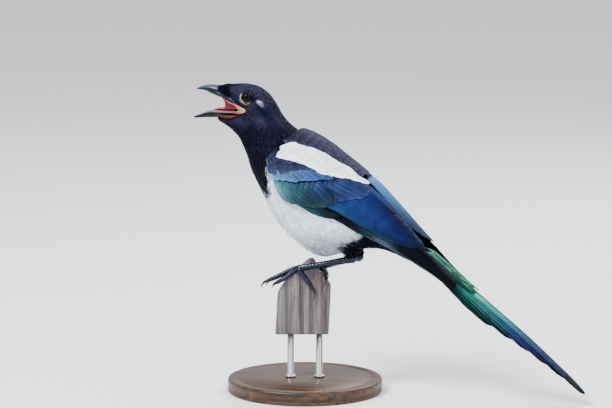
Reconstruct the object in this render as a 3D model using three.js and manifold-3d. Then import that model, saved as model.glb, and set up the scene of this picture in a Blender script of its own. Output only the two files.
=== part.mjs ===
// A young magpie, life size, calling from the pointed top of a fence picket on a small stand.
// Millimetres, +Z up. The bill points to -X, the tail to +X, and the bird's left side is -Y.
// The origin is the centre of the base's underside.
import * as THREE from 'three';
import { mergeVertices } from 'three/addons/utils/BufferGeometryUtils.js';
import Module from 'manifold-3d';

const wasm = await Module();
wasm.setup();

// Driving dimensions
const GAP = 0.35;
const PERCH_Z = 97;
const BODY_SLOPE = 43.5;
const PICKET_TURN = 15;
const BODY_SIDES = 16;
const BILL_SIDES = 12;
const TUBE_SIDES = 8;
const PICKET_WIDTH = 48.3;
const PICKET_DEPTH = 21;
const PICKET_FOOT_Z = -44;
const PICKET_LEFT = -24.9;
const PICKET_LEAN = 2;
const BASE_RADIUS = 70;
const BASE_HEIGHT = 12;
const BASE_CHAMFER = 2;
const ROD_RADIUS = 3;
const ROD_SPREAD = 13;
const PAD_RADIUS = 2.8;
const EYE_RADIUS = 4.9;
const EYE_CENTRE = [-50.4, -11.3, 169.6];
const LID_TUBE = 0.9;
const TAIL_PAIRS = 6;
const TAIL_ROOT = 58;
const TAIL_SPACING = 2.5;
const TAIL_STEP = 0.72;
const TAIL_ROOF = 75;
const VANE_THICKNESS = 0.7;
const TAIL_THICKNESS = 0.9;
const ROOT_SINK = 0.9;
const ROOT_LENGTH = 0.45;
const TOE_RADII = [1.9, 1.5];
const CLAW_RADII = [1.25, 0.25];
const SEED = 11;
const WELD = 1e-3;

const DEG = Math.PI / 180;
const slopeCos = Math.cos(BODY_SLOPE * DEG);
const slopeSin = Math.sin(BODY_SLOPE * DEG);
const turnCos = Math.cos(PICKET_TURN * DEG);
const turnSin = Math.sin(PICKET_TURN * DEG);

// Materials
const BLACK_PLUMAGE = { color: 0x14151c, roughness: 0.55, metalness: 0 };
const BLUE_PLUMAGE = { color: 0x1d3f86, roughness: 0.4, metalness: 0 };
const GREEN_PLUMAGE = { color: 0x11604f, roughness: 0.4, metalness: 0 };
const WHITE_PLUMAGE = { color: 0xe9e9ea, roughness: 0.8, metalness: 0 };
const HORN = { color: 0x23252c, roughness: 0.3, metalness: 0 };
const SCUTE = { color: 0x1b1c24, roughness: 0.35, metalness: 0 };
const MOUTH_RED = { color: 0xb3202a, roughness: 0.35, metalness: 0 };
const TONGUE_PINK = { color: 0xcf5566, roughness: 0.35, metalness: 0 };
const GAPE_CREAM = { color: 0xd8b493, roughness: 0.5, metalness: 0 };
const EYE_DARK = { color: 0x11131c, roughness: 0.05, metalness: 0 };
const GREY_WOOD = { color: 0x8b8285, roughness: 0.9, metalness: 0 };
const BASE_WOOD = { color: 0x4b3a2e, roughness: 0.5, metalness: 0 };
const ROD_STEEL = { color: 0x9a9ca0, roughness: 0.3, metalness: 1 };

const model = new THREE.Group();
const lerp = THREE.MathUtils.lerp;

// A repeatable random number between 0 and 1
let seedState = SEED;
function random() {
  seedState = (seedState * 16807) % 2147483647;
  return seedState / 2147483647;
}

// A smooth curve through [place, value] pairs, flat beyond both ends
function through(pairs) {
  return (place) => {
    const last = pairs.length - 1;
    if (place <= pairs[0][0]) return pairs[0][1];
    if (place >= pairs[last][0]) return pairs[last][1];
    let i = 0;
    while (place > pairs[i + 1][0]) i += 1;
    const slope = (k) => {
      const before = pairs[Math.max(k - 1, 0)];
      const after = pairs[Math.min(k + 1, last)];
      return (after[1] - before[1]) / (after[0] - before[0]);
    };
    const span = pairs[i + 1][0] - pairs[i][0];
    const t = (place - pairs[i][0]) / span;
    const h1 = t * t * (3 - 2 * t);
    const h2 = t * (1 - t) * (1 - t);
    const h3 = t * t * (t - 1);
    return pairs[i][1] * (1 - h1) + pairs[i + 1][1] * h1
      + span * (slope(i) * h2 + slope(i + 1) * h3);
  };
}

// A closed geometry over rings of equally many points, with a fan at each end. Quads from the
// point "turned" on are split the other way, so that both faces of a thin form are split alike.
function skinRings(rings, turned = Infinity) {
  const count = rings[0].length;
  const positions = [];
  const index = [];
  for (const ring of rings) {
    for (const point of ring) positions.push(point.x, point.y, point.z);
  }
  for (let r = 0; r < rings.length - 1; r += 1) {
    for (let k = 0; k < count; k += 1) {
      const a = r * count + k;
      const b = r * count + (k + 1) % count;
      if (k < turned) index.push(a, b, a + count, b, b + count, a + count);
      else index.push(a, b, b + count, a, b + count, a + count);
    }
  }
  const ends = [[0, true], [rings.length - 1, false]];
  for (const [r, first] of ends) {
    const centre = new THREE.Vector3();
    for (const point of rings[r]) centre.addScaledVector(point, 1 / count);
    positions.push(centre.x, centre.y, centre.z);
    const tip = positions.length / 3 - 1;
    for (let k = 0; k < count; k += 1) {
      const a = r * count + k;
      const b = r * count + (k + 1) % count;
      if (first) index.push(tip, b, a);
      else index.push(tip, a, b);
    }
  }
  const geometry = new THREE.BufferGeometry();
  geometry.setAttribute('position', new THREE.Float32BufferAttribute(positions, 3));
  geometry.setIndex(index);
  return geometry;
}

// Six times the volume inside a closed run of triangles
function sixVolumes(positions, index) {
  let sum = 0;
  for (let i = 0; i < index.length; i += 3) {
    const a = new THREE.Vector3().fromArray(positions, index[i] * 3);
    const b = new THREE.Vector3().fromArray(positions, index[i + 1] * 3);
    const c = new THREE.Vector3().fromArray(positions, index[i + 2] * 3);
    sum += a.dot(b.cross(c));
  }
  return sum;
}

// A solid from a closed geometry, turned right side out
function solid(geometry, weld = 1e-4) {
  const plain = geometry.clone();
  plain.deleteAttribute('normal');
  plain.deleteAttribute('uv');
  const merged = mergeVertices(plain, weld);
  const vertProperties = new Float32Array(merged.attributes.position.array);
  const triVerts = new Uint32Array(merged.index.array);
  if (sixVolumes(vertProperties, triVerts) < 0) {
    for (let i = 0; i < triVerts.length; i += 3) {
      const swap = triVerts[i];
      triVerts[i] = triVerts[i + 1];
      triVerts[i + 1] = swap;
    }
  }
  return new wasm.Manifold(new wasm.Mesh({ numProp: 3, vertProperties, triVerts }));
}

function joined(solids) {
  return solids.reduce((sum, next) => sum.add(next));
}

function without(body, cutters) {
  return cutters.reduce((rest, cutter) => rest.subtract(cutter), body);
}

function geometryOf(body) {
  const mesh = body.getMesh();
  const geometry = new THREE.BufferGeometry();
  geometry.setAttribute('position', new THREE.Float32BufferAttribute(mesh.vertProperties, 3));
  geometry.setIndex([...mesh.triVerts]);
  return geometry;
}

// The largest closed surface of a solid, as a geometry raised by "lift"
function largestSurface(body, lift = 0) {
  const largest = (whole) => whole.decompose().sort((a, b) => b.volume() - a.volume())[0];
  const raised = geometryOf(largest(body)).translate(0, 0, lift);
  return geometryOf(largest(solid(raised, WELD)));
}

function addNode(name, body, look, lift = PERCH_Z) {
  const mesh = new THREE.Mesh(largestSurface(body, lift), new THREE.MeshStandardMaterial(look));
  mesh.name = name;
  model.add(mesh);
}

// One ring between a top and a bottom point, oval, its widest line at the height "wide"
function ovalRing(station, sides, grow) {
  const { top, bottom, half, wide = 0.5, square = 1 } = station;
  const up = new THREE.Vector3(top[0] - bottom[0], 0, top[1] - bottom[1]);
  const height = up.length();
  up.normalize();
  const low = height * wide + grow;
  const high = height * (1 - wide) + grow;
  const centre = new THREE.Vector3(bottom[0], 0, bottom[1]).addScaledVector(up, height * wide);
  const ring = [];
  for (let k = 0; k < sides; k += 1) {
    const angle = k / sides * 2 * Math.PI;
    const rise = Math.sign(Math.cos(angle)) * Math.abs(Math.cos(angle)) ** square;
    const side = Math.sign(Math.sin(angle)) * Math.abs(Math.sin(angle)) ** square;
    const point = centre.clone().addScaledVector(up, rise * (rise > 0 ? high : low));
    point.y += side * (half + grow);
    ring.push(point);
  }
  return ring;
}

// A smooth body over stations, each part divided into "steps" rings
function loft(stations, { steps = 2, sides = BODY_SIDES, grow = 0 } = {}) {
  const spread = (pick) => through(stations.map((station, i) => [i, pick(station)]));
  const topX = spread((s) => s.top[0]);
  const topZ = spread((s) => s.top[1]);
  const lowX = spread((s) => s.bottom[0]);
  const lowZ = spread((s) => s.bottom[1]);
  const half = spread((s) => s.half);
  const wide = spread((s) => s.wide ?? 0.5);
  const square = spread((s) => s.square ?? 1);
  const rings = [];
  const last = stations.length - 1;
  for (let i = 0; i <= last * steps; i += 1) {
    const t = i / steps;
    const station = {
      top: [topX(t), topZ(t)],
      bottom: [lowX(t), lowZ(t)],
      half: half(t),
      wide: wide(t),
      square: square(t),
    };
    rings.push(ovalRing(station, sides, grow));
  }
  if (grow > 0) pushEnds(rings, grow);
  return solid(skinRings(rings));
}

// Both end rings moved outward along the line of ring centres
function pushEnds(rings, grow) {
  const middle = (ring) => {
    const sum = new THREE.Vector3();
    for (const point of ring) sum.addScaledVector(point, 1 / ring.length);
    return sum;
  };
  const last = rings.length - 1;
  for (const [end, next] of [[0, 1], [last, last - 1]]) {
    const out = middle(rings[end]).sub(middle(rings[next])).normalize().multiplyScalar(grow);
    for (const point of rings[end]) point.add(out);
  }
}

// A round tube through points, with a radius at each, closed at both ends
function tube(points, radii, { steps = 2, sides = TUBE_SIDES, grow = 0 } = {}) {
  const curve = new THREE.CatmullRomCurve3(points.map((p) => new THREE.Vector3(...p)));
  const radius = through(radii.map((r, i) => [i, r]));
  const last = points.length - 1;
  const rings = [];
  let side = null;
  for (let i = 0; i <= last * steps; i += 1) {
    const t = i / (last * steps);
    const centre = curve.getPoint(t);
    const tangent = curve.getTangent(t);
    if (!side) {
      const lead = Math.abs(tangent.z) > 0.9 ? new THREE.Vector3(1, 0, 0) : new THREE.Vector3(0, 0, 1);
      side = tangent.clone().cross(lead);
    }
    side.addScaledVector(tangent, -side.dot(tangent)).normalize();
    const over = tangent.clone().cross(side);
    const r = radius(t * last) + grow;
    const ring = [];
    for (let k = 0; k < sides; k += 1) {
      const angle = k / sides * 2 * Math.PI;
      const point = centre.clone().addScaledVector(side, r * Math.cos(angle));
      ring.push(point.addScaledVector(over, r * Math.sin(angle)));
    }
    rings.push(ring);
  }
  if (grow > 0) pushEnds(rings, grow);
  return solid(skinRings(rings));
}

// A big block whose face passes through two points in the XZ plane, on the side of "away"
function halfSpace(high, low, away, shift) {
  const size = 400;
  const along = new THREE.Vector3(high[0] - low[0], 0, high[1] - low[1]).normalize();
  const normal = new THREE.Vector3(along.z, 0, -along.x);
  if (normal.x * away < 0) normal.negate();
  const centre = new THREE.Vector3((high[0] + low[0]) / 2, 0, (high[1] + low[1]) / 2);
  centre.addScaledVector(normal, size / 2 + shift);
  const block = new THREE.BoxGeometry(size, size, size);
  block.rotateY(-Math.atan2(normal.z, normal.x));
  block.translate(centre.x, centre.y, centre.z);
  return solid(block);
}

// Places on the body slope: s runs down the back to the tail, n stands out of the back
function slope(s, n) {
  return [s * slopeCos + n * slopeSin, -s * slopeSin + n * slopeCos];
}

function onSlope(s, y, n) {
  const [x, z] = slope(s, n);
  return new THREE.Vector3(x, y, z);
}

// Head, bill and neck
const shoulderStations = [
  { top: [-18.5, 151], bottom: [-50, 106], half: 21.5 },
  { top: [-10.5, 143.5], bottom: [-46, 97], half: 25 },
  { top: [-1, 138], bottom: [-41, 88.3], half: 28.6 },
  { top: [9, 135], bottom: [-36.3, 78.2], half: 31 },
];
const skullStations = [
  { top: [-80, 176.9], bottom: [-77.5, 169.6], half: 5.2, square: 0.9 },
  { top: [-74.5, 178.8], bottom: [-72.5, 168.2], half: 7.6, square: 0.9 },
  { top: [-67.5, 180.4], bottom: [-66.5, 164.4], half: 10 },
  { top: [-58.2, 181.4], bottom: [-60, 157], half: 13.2 },
  { top: [-47, 180.7], bottom: [-52, 146], half: 15.4 },
  { top: [-38, 177.2], bottom: [-42, 144], half: 15.6 },
  { top: [-30, 168.6], bottom: [-34, 144], half: 13.6 },
  { top: [-24.5, 160], bottom: [-28, 146], half: 9 },
];
const throatStations = [
  { top: [-83.5, 154.4], bottom: [-82.6, 148.3], half: 4.2 },
  { top: [-76, 154.9], bottom: [-76.6, 144.8], half: 7 },
  { top: [-67.5, 155.5], bottom: [-69.6, 139.8], half: 9.6 },
  { top: [-54, 166], bottom: [-61.8, 133.2], half: 12.8 },
  { top: [-37, 168], bottom: [-58, 125.5], half: 15.6 },
  { top: [-25, 160], bottom: [-53.8, 116.8], half: 18.2 },
  ...shoulderStations,
];
const billUpperStations = [
  { top: [-70, 171], bottom: [-70, 167.2], half: 4.6 },
  { top: [-75, 175.2], bottom: [-75, 168.4], half: 5.2 },
  { top: [-80.5, 178.4], bottom: [-80, 169.6], half: 5.3 },
  { top: [-87, 179.3], bottom: [-86.5, 171.8], half: 4.3 },
  { top: [-93, 178.6], bottom: [-92.4, 173.8], half: 3.1 },
  { top: [-98, 177.2], bottom: [-97.6, 174.8], half: 1.8 },
  { top: [-101, 175.6], bottom: [-100.9, 174.9], half: 0.5 },
];
const palateStations = [
  { top: [-89, 173.6], bottom: [-89, 172.4], half: 3.4 },
  { top: [-82, 171.3], bottom: [-82, 169.3], half: 5.4 },
  { top: [-74, 169.2], bottom: [-74, 166.9], half: 7.7 },
  { top: [-67, 166.5], bottom: [-67.4, 164.1], half: 9.6 },
  { top: [-61.5, 162.6], bottom: [-62.6, 160.8], half: 10.6 },
];
const billLowerStations = [
  { top: [-70, 156], bottom: [-70, 151.4], half: 6.4 },
  { top: [-77, 156.2], bottom: [-77, 150.6], half: 6.2 },
  { top: [-84, 156.2], bottom: [-84, 149.9], half: 5 },
  { top: [-90.4, 155.7], bottom: [-90.4, 149.7], half: 3.9 },
  { top: [-96.5, 153.3], bottom: [-96.6, 149.4], half: 2.6 },
  { top: [-101, 151.3], bottom: [-101.2, 149.1], half: 1.5 },
  { top: [-104.6, 149.7], bottom: [-104.6, 149.1], half: 0.5 },
];
const jawEdgeStations = [
  { top: [-86, 156.3], bottom: [-86, 154.6], half: 4.6 },
  { top: [-78, 156.5], bottom: [-78, 154.6], half: 7 },
  { top: [-70, 156.7], bottom: [-70, 154.6], half: 9 },
  { top: [-62.5, 157], bottom: [-62.5, 155], half: 10.4 },
];
const tongueStations = [
  { top: [-85, 157.4], bottom: [-85, 156.9], half: 0.7 },
  { top: [-82, 158.1], bottom: [-82, 156.8], half: 2 },
  { top: [-75, 158.7], bottom: [-75, 156.9], half: 3 },
  { top: [-67, 158.9], bottom: [-67, 157.1], half: 3.2 },
];
const liningStations = [
  { top: [-79.6, 170], bottom: [-75.4, 156], half: 5.4, square: 0.8 },
  { top: [-74, 169], bottom: [-71, 156], half: 6.8, square: 0.8 },
  { top: [-67, 167], bottom: [-66.5, 156], half: 8, square: 0.8 },
  { top: [-61, 163], bottom: [-61, 156], half: 8.6, square: 0.8 },
];

function billUpper(grow) {
  const palate = loft(palateStations, { steps: 1, sides: BILL_SIDES, grow });
  return loft(billUpperStations, { sides: BILL_SIDES, grow }).add(palate);
}

function billLower(grow) {
  const jawEdge = loft(jawEdgeStations, { steps: 1, sides: BILL_SIDES, grow });
  return loft(billLowerStations, { sides: BILL_SIDES, grow }).add(jawEdge);
}

function tongue(grow) {
  return loft(tongueStations, { sides: 8, grow });
}

function mouthLining(grow) {
  return loft(liningStations, { steps: 1, sides: 10, grow });
}

function mirrorY(side, [x, y, z]) {
  return [x, -side * y, z];
}

// The soft swollen skin at the corner of the mouth. Side is -1 on the bird's left.
function gape(side, grow) {
  const points = [
    [-67.5, -9.4, 164.2],
    [-62.5, -11, 161.4],
    [-56, -13.4, 157.2],
    [-61.5, -11.6, 155.2],
    [-67, -9.8, 155.2],
  ].map((p) => mirrorY(side, p));
  return tube(points, [0.9, 1.3, 2.1, 1.6, 0.9], { steps: 2, sides: 6, grow });
}

function eye(side, grow) {
  const ball = new THREE.SphereGeometry(EYE_RADIUS + grow, 14, 9);
  ball.rotateX(Math.PI / 2);
  ball.translate(...mirrorY(side, EYE_CENTRE));
  return solid(ball);
}

// The rim of bare skin round the eye, tipped to lie in the cheek
function lid(side) {
  const rim = new THREE.TorusGeometry(EYE_RADIUS - 0.3, LID_TUBE, 5, 14);
  rim.rotateX(Math.PI / 2);
  rim.rotateZ(side * 8 * DEG);
  const [x, y, z] = mirrorY(side, EYE_CENTRE);
  rim.translate(x, y + side * 2.5, z);
  return solid(rim);
}

const NAPE_CUT = { high: [-22, 162], low: [-66, 129] };
const SHOULDER_CUT = { high: [-4, 146], low: [-45, 90] };

function headBody() {
  const whole = joined([
    loft(skullStations),
    loft(throatStations),
    lid(-1),
    lid(1),
  ]);
  return without(whole, [
    halfSpace(NAPE_CUT.high, NAPE_CUT.low, 1, -GAP / 2),
    billUpper(GAP),
    billLower(GAP),
    gape(-1, GAP),
    gape(1, GAP),
    eye(-1, GAP),
    eye(1, GAP),
    mouthSpace(),
    mouthLining(GAP),
  ]);
}

// The open mouth between palate and lower jaw
function mouthSpace() {
  return loft([
    { top: [-92, 171.5], bottom: [-92, 156], half: 7, square: 0.6 },
    { top: [-80, 169.6], bottom: [-78, 156.2], half: 8.4, square: 0.6 },
    { top: [-70, 165.6], bottom: [-69, 156.4], half: 10.6, square: 0.6 },
    { top: [-60.5, 161.6], bottom: [-60.5, 156.6], half: 12.4, square: 0.6 },
  ], { steps: 1, sides: 8 });
}

function neckBody(grow) {
  const middle = loft(throatStations, { grow }).add(loft(skullStations, { grow }));
  return without(middle, [
    halfSpace(NAPE_CUT.high, NAPE_CUT.low, -1, -GAP / 2 + grow),
    halfSpace(SHOULDER_CUT.high, SHOULDER_CUT.low, 1, -GAP / 2 + grow),
  ]);
}

// Torso, from the shoulders to the root of the tail
const torsoStations = [
  ...shoulderStations,
  { top: [20, 127.6], bottom: [-30.6, 65], half: 32.5 },
  { top: slope(-60, 106.5), bottom: slope(-52, 23.4), half: 33 },
  { top: slope(-42, 106.5), bottom: slope(-35, 23), half: 33 },
  { top: slope(-22, 106), bottom: slope(-14, 26.5), half: 32 },
  { top: slope(-4, 105), bottom: slope(-3, 34), half: 29.5 },
  { top: slope(13, 104), bottom: slope(9, 56), half: 26 },
  { top: slope(30, 103.6), bottom: slope(27, 76.5), half: 22.5 },
  { top: slope(50, 103.4), bottom: slope(50, 86), half: 18.5 },
];

function torsoBody(grow) {
  const whole = loft(torsoStations, { grow });
  return without(whole, [halfSpace(SHOULDER_CUT.high, SHOULDER_CUT.low, -1, -GAP / 2 + grow)]);
}

// Folded wing: an oval tube round the body, with s along it and q from the back's middle
// line at 0 to the wing's lower edge at 1. The far wing is tucked a little closer.
const wingHalf = through([
  [-104, 23], [-90, 30.5], [-72, 34.5], [-57, 36], [-32, 35.5], [-13, 34],
  [2, 32], [28, 28.5], [53, 26], [70, 24], [100, 21],
]);
const wingTop = through([
  [-104, 94], [-90, 101], [-72, 106], [-57, 108], [-32, 111], [-13, 112],
  [2, 111.5], [28, 110], [53, 108.5], [70, 107.8], [100, 107],
]);
const wingWide = through([
  [-104, 72], [-90, 69.5], [-72, 70], [-57, 72], [-46, 75.5], [-32, 80], [-13, 86],
  [2, 89.5], [28, 94.5], [53, 98.5], [70, 101], [100, 103.5],
]);
const wingReach = through([
  [-104, 90], [-90, 100], [-72, 108], [-46, 111], [-32, 115], [-13, 115],
  [2, 120], [28, 117], [53, 110], [70, 106], [100, 100],
]);
const FAR_TUCK = { drop: 1.8, reach: 0.93 };

function wingPoint(side, s, q, lift) {
  const angle = q * wingReach(s) * DEG;
  const half = wingHalf(s);
  const rise = wingTop(s) - wingWide(s);
  const out = new THREE.Vector2(Math.sin(angle) / half, Math.cos(angle) / rise).normalize();
  const y = half * Math.sin(angle) + lift * out.x;
  const n = wingWide(s) + rise * Math.cos(angle) + lift * out.y;
  if (side < 0) return onSlope(s, -y, n);
  return onSlope(s > 0 ? s * FAR_TUCK.reach : s, y, n - FAR_TUCK.drop);
}

// Millimetres round the tube for one unit of q
function wingSpan(s, q) {
  const step = 0.02;
  return wingPoint(-1, s, q + step, 0).distanceTo(wingPoint(-1, s, q - step, 0)) / (2 * step);
}

// A block over a grid of places, between an upper and a lower surface, with a rim all round
function blockOver(rows, columns, upper, lower) {
  const rings = [];
  for (let i = 0; i <= rows; i += 1) {
    const ring = [];
    for (let k = 0; k <= columns; k += 1) ring.push(upper(i / rows, k / columns));
    for (let k = columns; k >= 0; k -= 1) ring.push(lower(i / rows, k / columns));
    rings.push(ring);
  }
  return solid(skinRings(rings, columns + 1));
}

function wingSlab(side) {
  const [front, rear] = [-103, 56];
  const inner = through([[0, 0.42], [0.2, 0.28], [0.5, 0.12], [1, 0.16]]);
  const outer = through([[0, 0.86], [0.12, 1], [0.6, 0.98], [1, 0.8]]);
  const depth = through([[0, 4], [0.2, 9], [0.6, 8], [1, 1.5]]);
  const at = (u, v, lift) => {
    return wingPoint(side, lerp(front, rear, u), lerp(inner(u), outer(u), v), lift);
  };
  return blockOver(9, 4, (u, v) => at(u, v, -0.2), (u, v) => at(u, v, -depth(u)));
}

// Outline of a feather: narrow root, even blade, round or pointed tip
function bladeWidth(t, point) {
  const root = Math.min(1, 0.5 + t * 2);
  const tip = t < point ? 1 : Math.sqrt(Math.max(0, 1 - ((t - point) / (1 - point)) ** 2));
  return root * Math.max(tip, 0.2);
}

// One feather lying on a surface. "place" gives the point for (along, across in mm, lift).
// Its root is sunk below the surface, and it climbs to "lift" at the end of its root.
const edgeLanes = [-1, 1];

function vane(place, shape) {
  const { half, lift, rise = 0, thick = VANE_THICKNESS, point, grow = 0, lanes = edgeLanes } = shape;
  const rings = [0, ROOT_LENGTH, 0.88, 1].map((t) => {
    const width = half * bladeWidth(t, point) + grow;
    const height = lerp(-ROOT_SINK, lift, Math.min(1, t / ROOT_LENGTH)) + rise * t;
    const top = lanes.map((lane) => place(t, lane * width, height + grow));
    const under = lanes.map((lane) => place(t, -lane * width, height - thick - grow));
    return [...top, ...under];
  });
  if (grow > 0) pushEnds(rings, grow);
  return solid(skinRings(rings, lanes.length));
}

function wingVane(side, root, tip, shape) {
  const place = (t, across, lift) => {
    const s = lerp(root[0], tip[0], t);
    const q = lerp(root[1], tip[1], t ** (shape.bend ?? 1));
    return wingPoint(side, s, q + across / wingSpan(s, q), lift);
  };
  return vane(place, shape);
}

const primaryTips = [[84, 0.93], [98, 0.86], [96, 0.74], [84, 0.62], [70, 0.51]];
const secondaryTips = [[56, 0.4], [49, 0.31], [39, 0.24], [26, 0.18]];
const tertialTips = [[8, 0.16], [-15, 0.25]];
const greaterTips = [[-50, 0.93], [-37, 0.81], [-31, 0.68], [-38, 0.54]];
const primaryCovertTips = [[-36, 0.98], [-18, 0.9]];
const medianTips = [[-74, 0.86], [-64, 0.7], [-57, 0.54]];
const scapularTips = [[-66, 0.48], [-45, 0.38], [-29, 0.29], [-16, 0.2]];

// One tier: a vane for each tip, its root stepped from "root" by "step", each on the one before
function tier(side, tips, { root, step, layer, vary = 1.5, ...shape }) {
  return tips.map(([s, q], i) => {
    const start = [root[0] + i * step[0], root[1] + i * step[1]];
    const end = [s + (random() - 0.5) * vary, q];
    return wingVane(side, start, end, { ...shape, lift: shape.lift + i * layer });
  });
}

function wingFeathers(side) {
  return [
    ...tier(side, primaryTips, {
      root: [-24, 0.94], step: [3, -0.065], layer: 0.5, half: 3, lift: 1.1, point: 0.8,
    }),
    ...tier(side, secondaryTips, {
      root: [-46, 0.7], step: [2, -0.11], layer: 0.5, half: 5, lift: 3.9, point: 0.86, bend: 1.35,
    }),
    ...tier(side, tertialTips, {
      root: [-58, 0.36], step: [0, 0.16], layer: 0.6, half: 9, lift: 5, point: 0.8, lanes: [-1, 0, 1],
    }),
    ...tier(side, greaterTips, {
      root: [-80, 0.9], step: [6, -0.15], layer: 0.5, half: 7, lift: 2.4, rise: 1.4, point: 0.7,
    }),
    ...tier(side, primaryCovertTips, {
      root: [-64, 0.96], step: [6, -0.06], layer: 0.5, half: 5, lift: 1.4, point: 0.7,
    }),
    ...tier(side, medianTips, {
      root: [-92, 0.82], step: [8, -0.15], layer: 0.5, half: 7.2, lift: 3.2, rise: 0.8, point: 0.6,
    }),
    ...tier(side, scapularTips, {
      root: [-98, 0.48], step: [13, -0.09], layer: 0.5, half: 6, lift: 4.2, rise: 1.2, point: 0.66,
    }),
  ];
}

// Tail: a roof of feathers, the middle pair longest and on top
const tailTop = through([
  [30, 101], [60, 104], [90, 106.8], [115, 108.7], [140, 110.5], [161, 112.2], [184, 113.4],
  [208, 114], [230, 114.4], [246, 113.8],
]);
const tailTips = [245, 226, 206, 187, 168, 147];

function tailPoint(s, y, lift) {
  return onSlope(s, y, tailTop(s) - y * y / TAIL_ROOF + lift);
}

function tailVane(pair, side, grow) {
  const tip = tailTips[pair];
  const place = (t, across, lift) => {
    const s = lerp(TAIL_ROOT, tip, t);
    const spread = lerp(0.45, 1, Math.min(1, t * 1.5));
    return tailPoint(s, side * (2 + TAIL_SPACING * pair) * spread + side * across, lift);
  };
  const lift = -TAIL_STEP * pair - (side > 0 ? 0.3 : 0);
  return vane(place, { half: 8.4, lift, thick: TAIL_THICKNESS, point: 0.86, grow });
}

function tailBody(grow) {
  const coverts = loft([
    { top: slope(50.3 + GAP, 103.4), bottom: slope(50.3 + GAP, 86), half: 18.5 },
    { top: slope(64, 104.8), bottom: slope(66, 90), half: 16.8 },
    { top: slope(80, 106.2), bottom: slope(82, 94), half: 14.6 },
    { top: slope(96, 107.2), bottom: slope(98, 98), half: 11 },
    { top: slope(106, 107), bottom: slope(107, 102), half: 4 },
  ], { grow });
  const vanes = [];
  for (let pair = 0; pair < TAIL_PAIRS; pair += 1) {
    for (const side of [-1, 1]) vanes.push(tailVane(pair, side, grow));
  }
  return joined([coverts, ...vanes]);
}

function wingBody(side) {
  const mid = new THREE.BoxGeometry(500, 100, 500);
  mid.translate(0, -side * (50 - GAP / 2), 0);
  const whole = joined([wingSlab(side), ...wingFeathers(side)]);
  return without(whole, [torsoBody(GAP), neckBody(GAP), tailBody(GAP), solid(mid)]);
}

// Picket coordinates: u across its face, w away from the face, z up
function onPicket([u, w, z]) {
  return [u * turnCos - w * turnSin, u * turnSin + w * turnCos, z];
}

function picket(grow) {
  const right = PICKET_LEFT + PICKET_WIDTH;
  const outline = [
    [PICKET_LEFT - PICKET_LEAN, PICKET_FOOT_Z],
    [right - PICKET_LEAN, PICKET_FOOT_Z],
    [right, -1],
    [7.6, 23.3],
    [5.2, 23.7],
    [-0.9, 19.2],
    [-17.1, 4.2],
    [-23.2, -5.2],
    [PICKET_LEFT, -9.5],
  ];
  const middle = [0, -10];
  const corners = outline.map(([u, z]) => {
    const out = new THREE.Vector2(u - middle[0], z - middle[1]).normalize().multiplyScalar(grow * 1.3);
    return new THREE.Vector2(u + out.x, z + out.y);
  });
  const depth = PICKET_DEPTH + 2 * grow;
  const block = new THREE.ExtrudeGeometry(new THREE.Shape(corners), { depth, bevelEnabled: false });
  block.translate(0, 0, -depth / 2);
  block.rotateX(Math.PI / 2);
  block.rotateZ(PICKET_TURN * DEG);
  return solid(block);
}

// Legs: a feathered shin, a bare shank, then the foot
const legShapes = {
  left: {
    hip: [36, -15, 50],
    heel: onPicket([43.5, -24.6, 27.6]),
    pad: [-5, -10.5, 16.8],
    toes: [
      [[-5, -12.7, 15], [0.4, -13, 8], [3.4, -12.9, 3.6]],
      [[-7, -10.4, 16.2], [-12.5, -11.8, 12.6], [-17.5, -12, 8.4], [-25, -12, 4.2]],
      [[-8, -9.4, 16.8], [-15, -7, 13.6], [-25, -6, 8.6], [-33, -5.6, 4.9]],
      [[-8, -8.6, 16.4], [-14, -3, 13.4], [-22, 0.5, 8.4], [-30, 2, 4.6]],
    ],
    claws: [
      [[3.4, -12.9, 3.6], [7.4, -13.1, -1.4], [9, -12.9, -6], [7.4, -12.6, -12.8]],
      [[-25, -12, 4.2], [-28, -12, 2.4], [-29.4, -12, -0.8]],
      [[-33, -5.6, 4.9], [-37, -5.6, 3], [-40.4, -5.6, -1.8]],
      [[-30, 2, 4.6], [-33.4, 2.2, 2.6], [-35.4, 2.3, -1.2]],
    ],
  },
  right: {
    hip: [36, 15, 50],
    heel: onPicket([50, 4.6, 24.6]),
    pad: [10, 13.6, 13],
    toes: [
      [[11, 13, 13.4], [15.6, 10.6, 13.6], [18.7, 4, 11], [19.8, -4, 8.8]],
      [[8.6, 14, 11], [5, 13.6, 5], [2, 13.2, -2]],
      [[7, 14.4, 12], [0, 14, 8.6], [-7, 13.4, 3.6]],
      [[7, 14.2, 14], [0, 13.8, 13], [-7, 13.2, 9.4]],
    ],
    claws: [
      [[19.8, -4, 8.8], [19.6, -9.5, 7], [18.4, -12.4, 3.4], [15.8, -12.6, -0.8]],
      [[2, 13.2, -2], [0.6, 13.2, -5.4], [0.2, 12.4, -8.6]],
      [[-7, 13.4, 3.6], [-10, 13.2, 0.8], [-11.6, 12.4, -3]],
      [[-7, 13.2, 9.4], [-10.4, 12.9, 6.8], [-12.4, 12.2, 3]],
    ],
  },
};

function shin(shape, grow) {
  const [hx, hy, hz] = shape.hip;
  const [ex, ey, ez] = shape.heel;
  const mid = [lerp(hx, ex, 0.55), lerp(hy, ey, 0.5), lerp(hz, ez, 0.5)];
  const end = [lerp(hx, ex, 0.97), lerp(hy, ey, 0.97), lerp(hz, ez, 0.9)];
  return tube([shape.hip, mid, end], [11, 8.2, 4.2], { steps: 3, sides: 12, grow });
}

function shank(shape) {
  const pad = onPicket(shape.pad);
  const middle = shape.heel.map((v, k) => lerp(v, pad[k], 0.5));
  const upper = shape.heel.map((v, k) => lerp(v, pad[k], 0.12));
  const lower = shape.heel.map((v, k) => lerp(v, pad[k], 0.88));
  return tube([shape.heel, upper, middle, lower, pad], [2.7, 2.3, 1.8, 1.9, 2.4], { steps: 1 });
}

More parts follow.
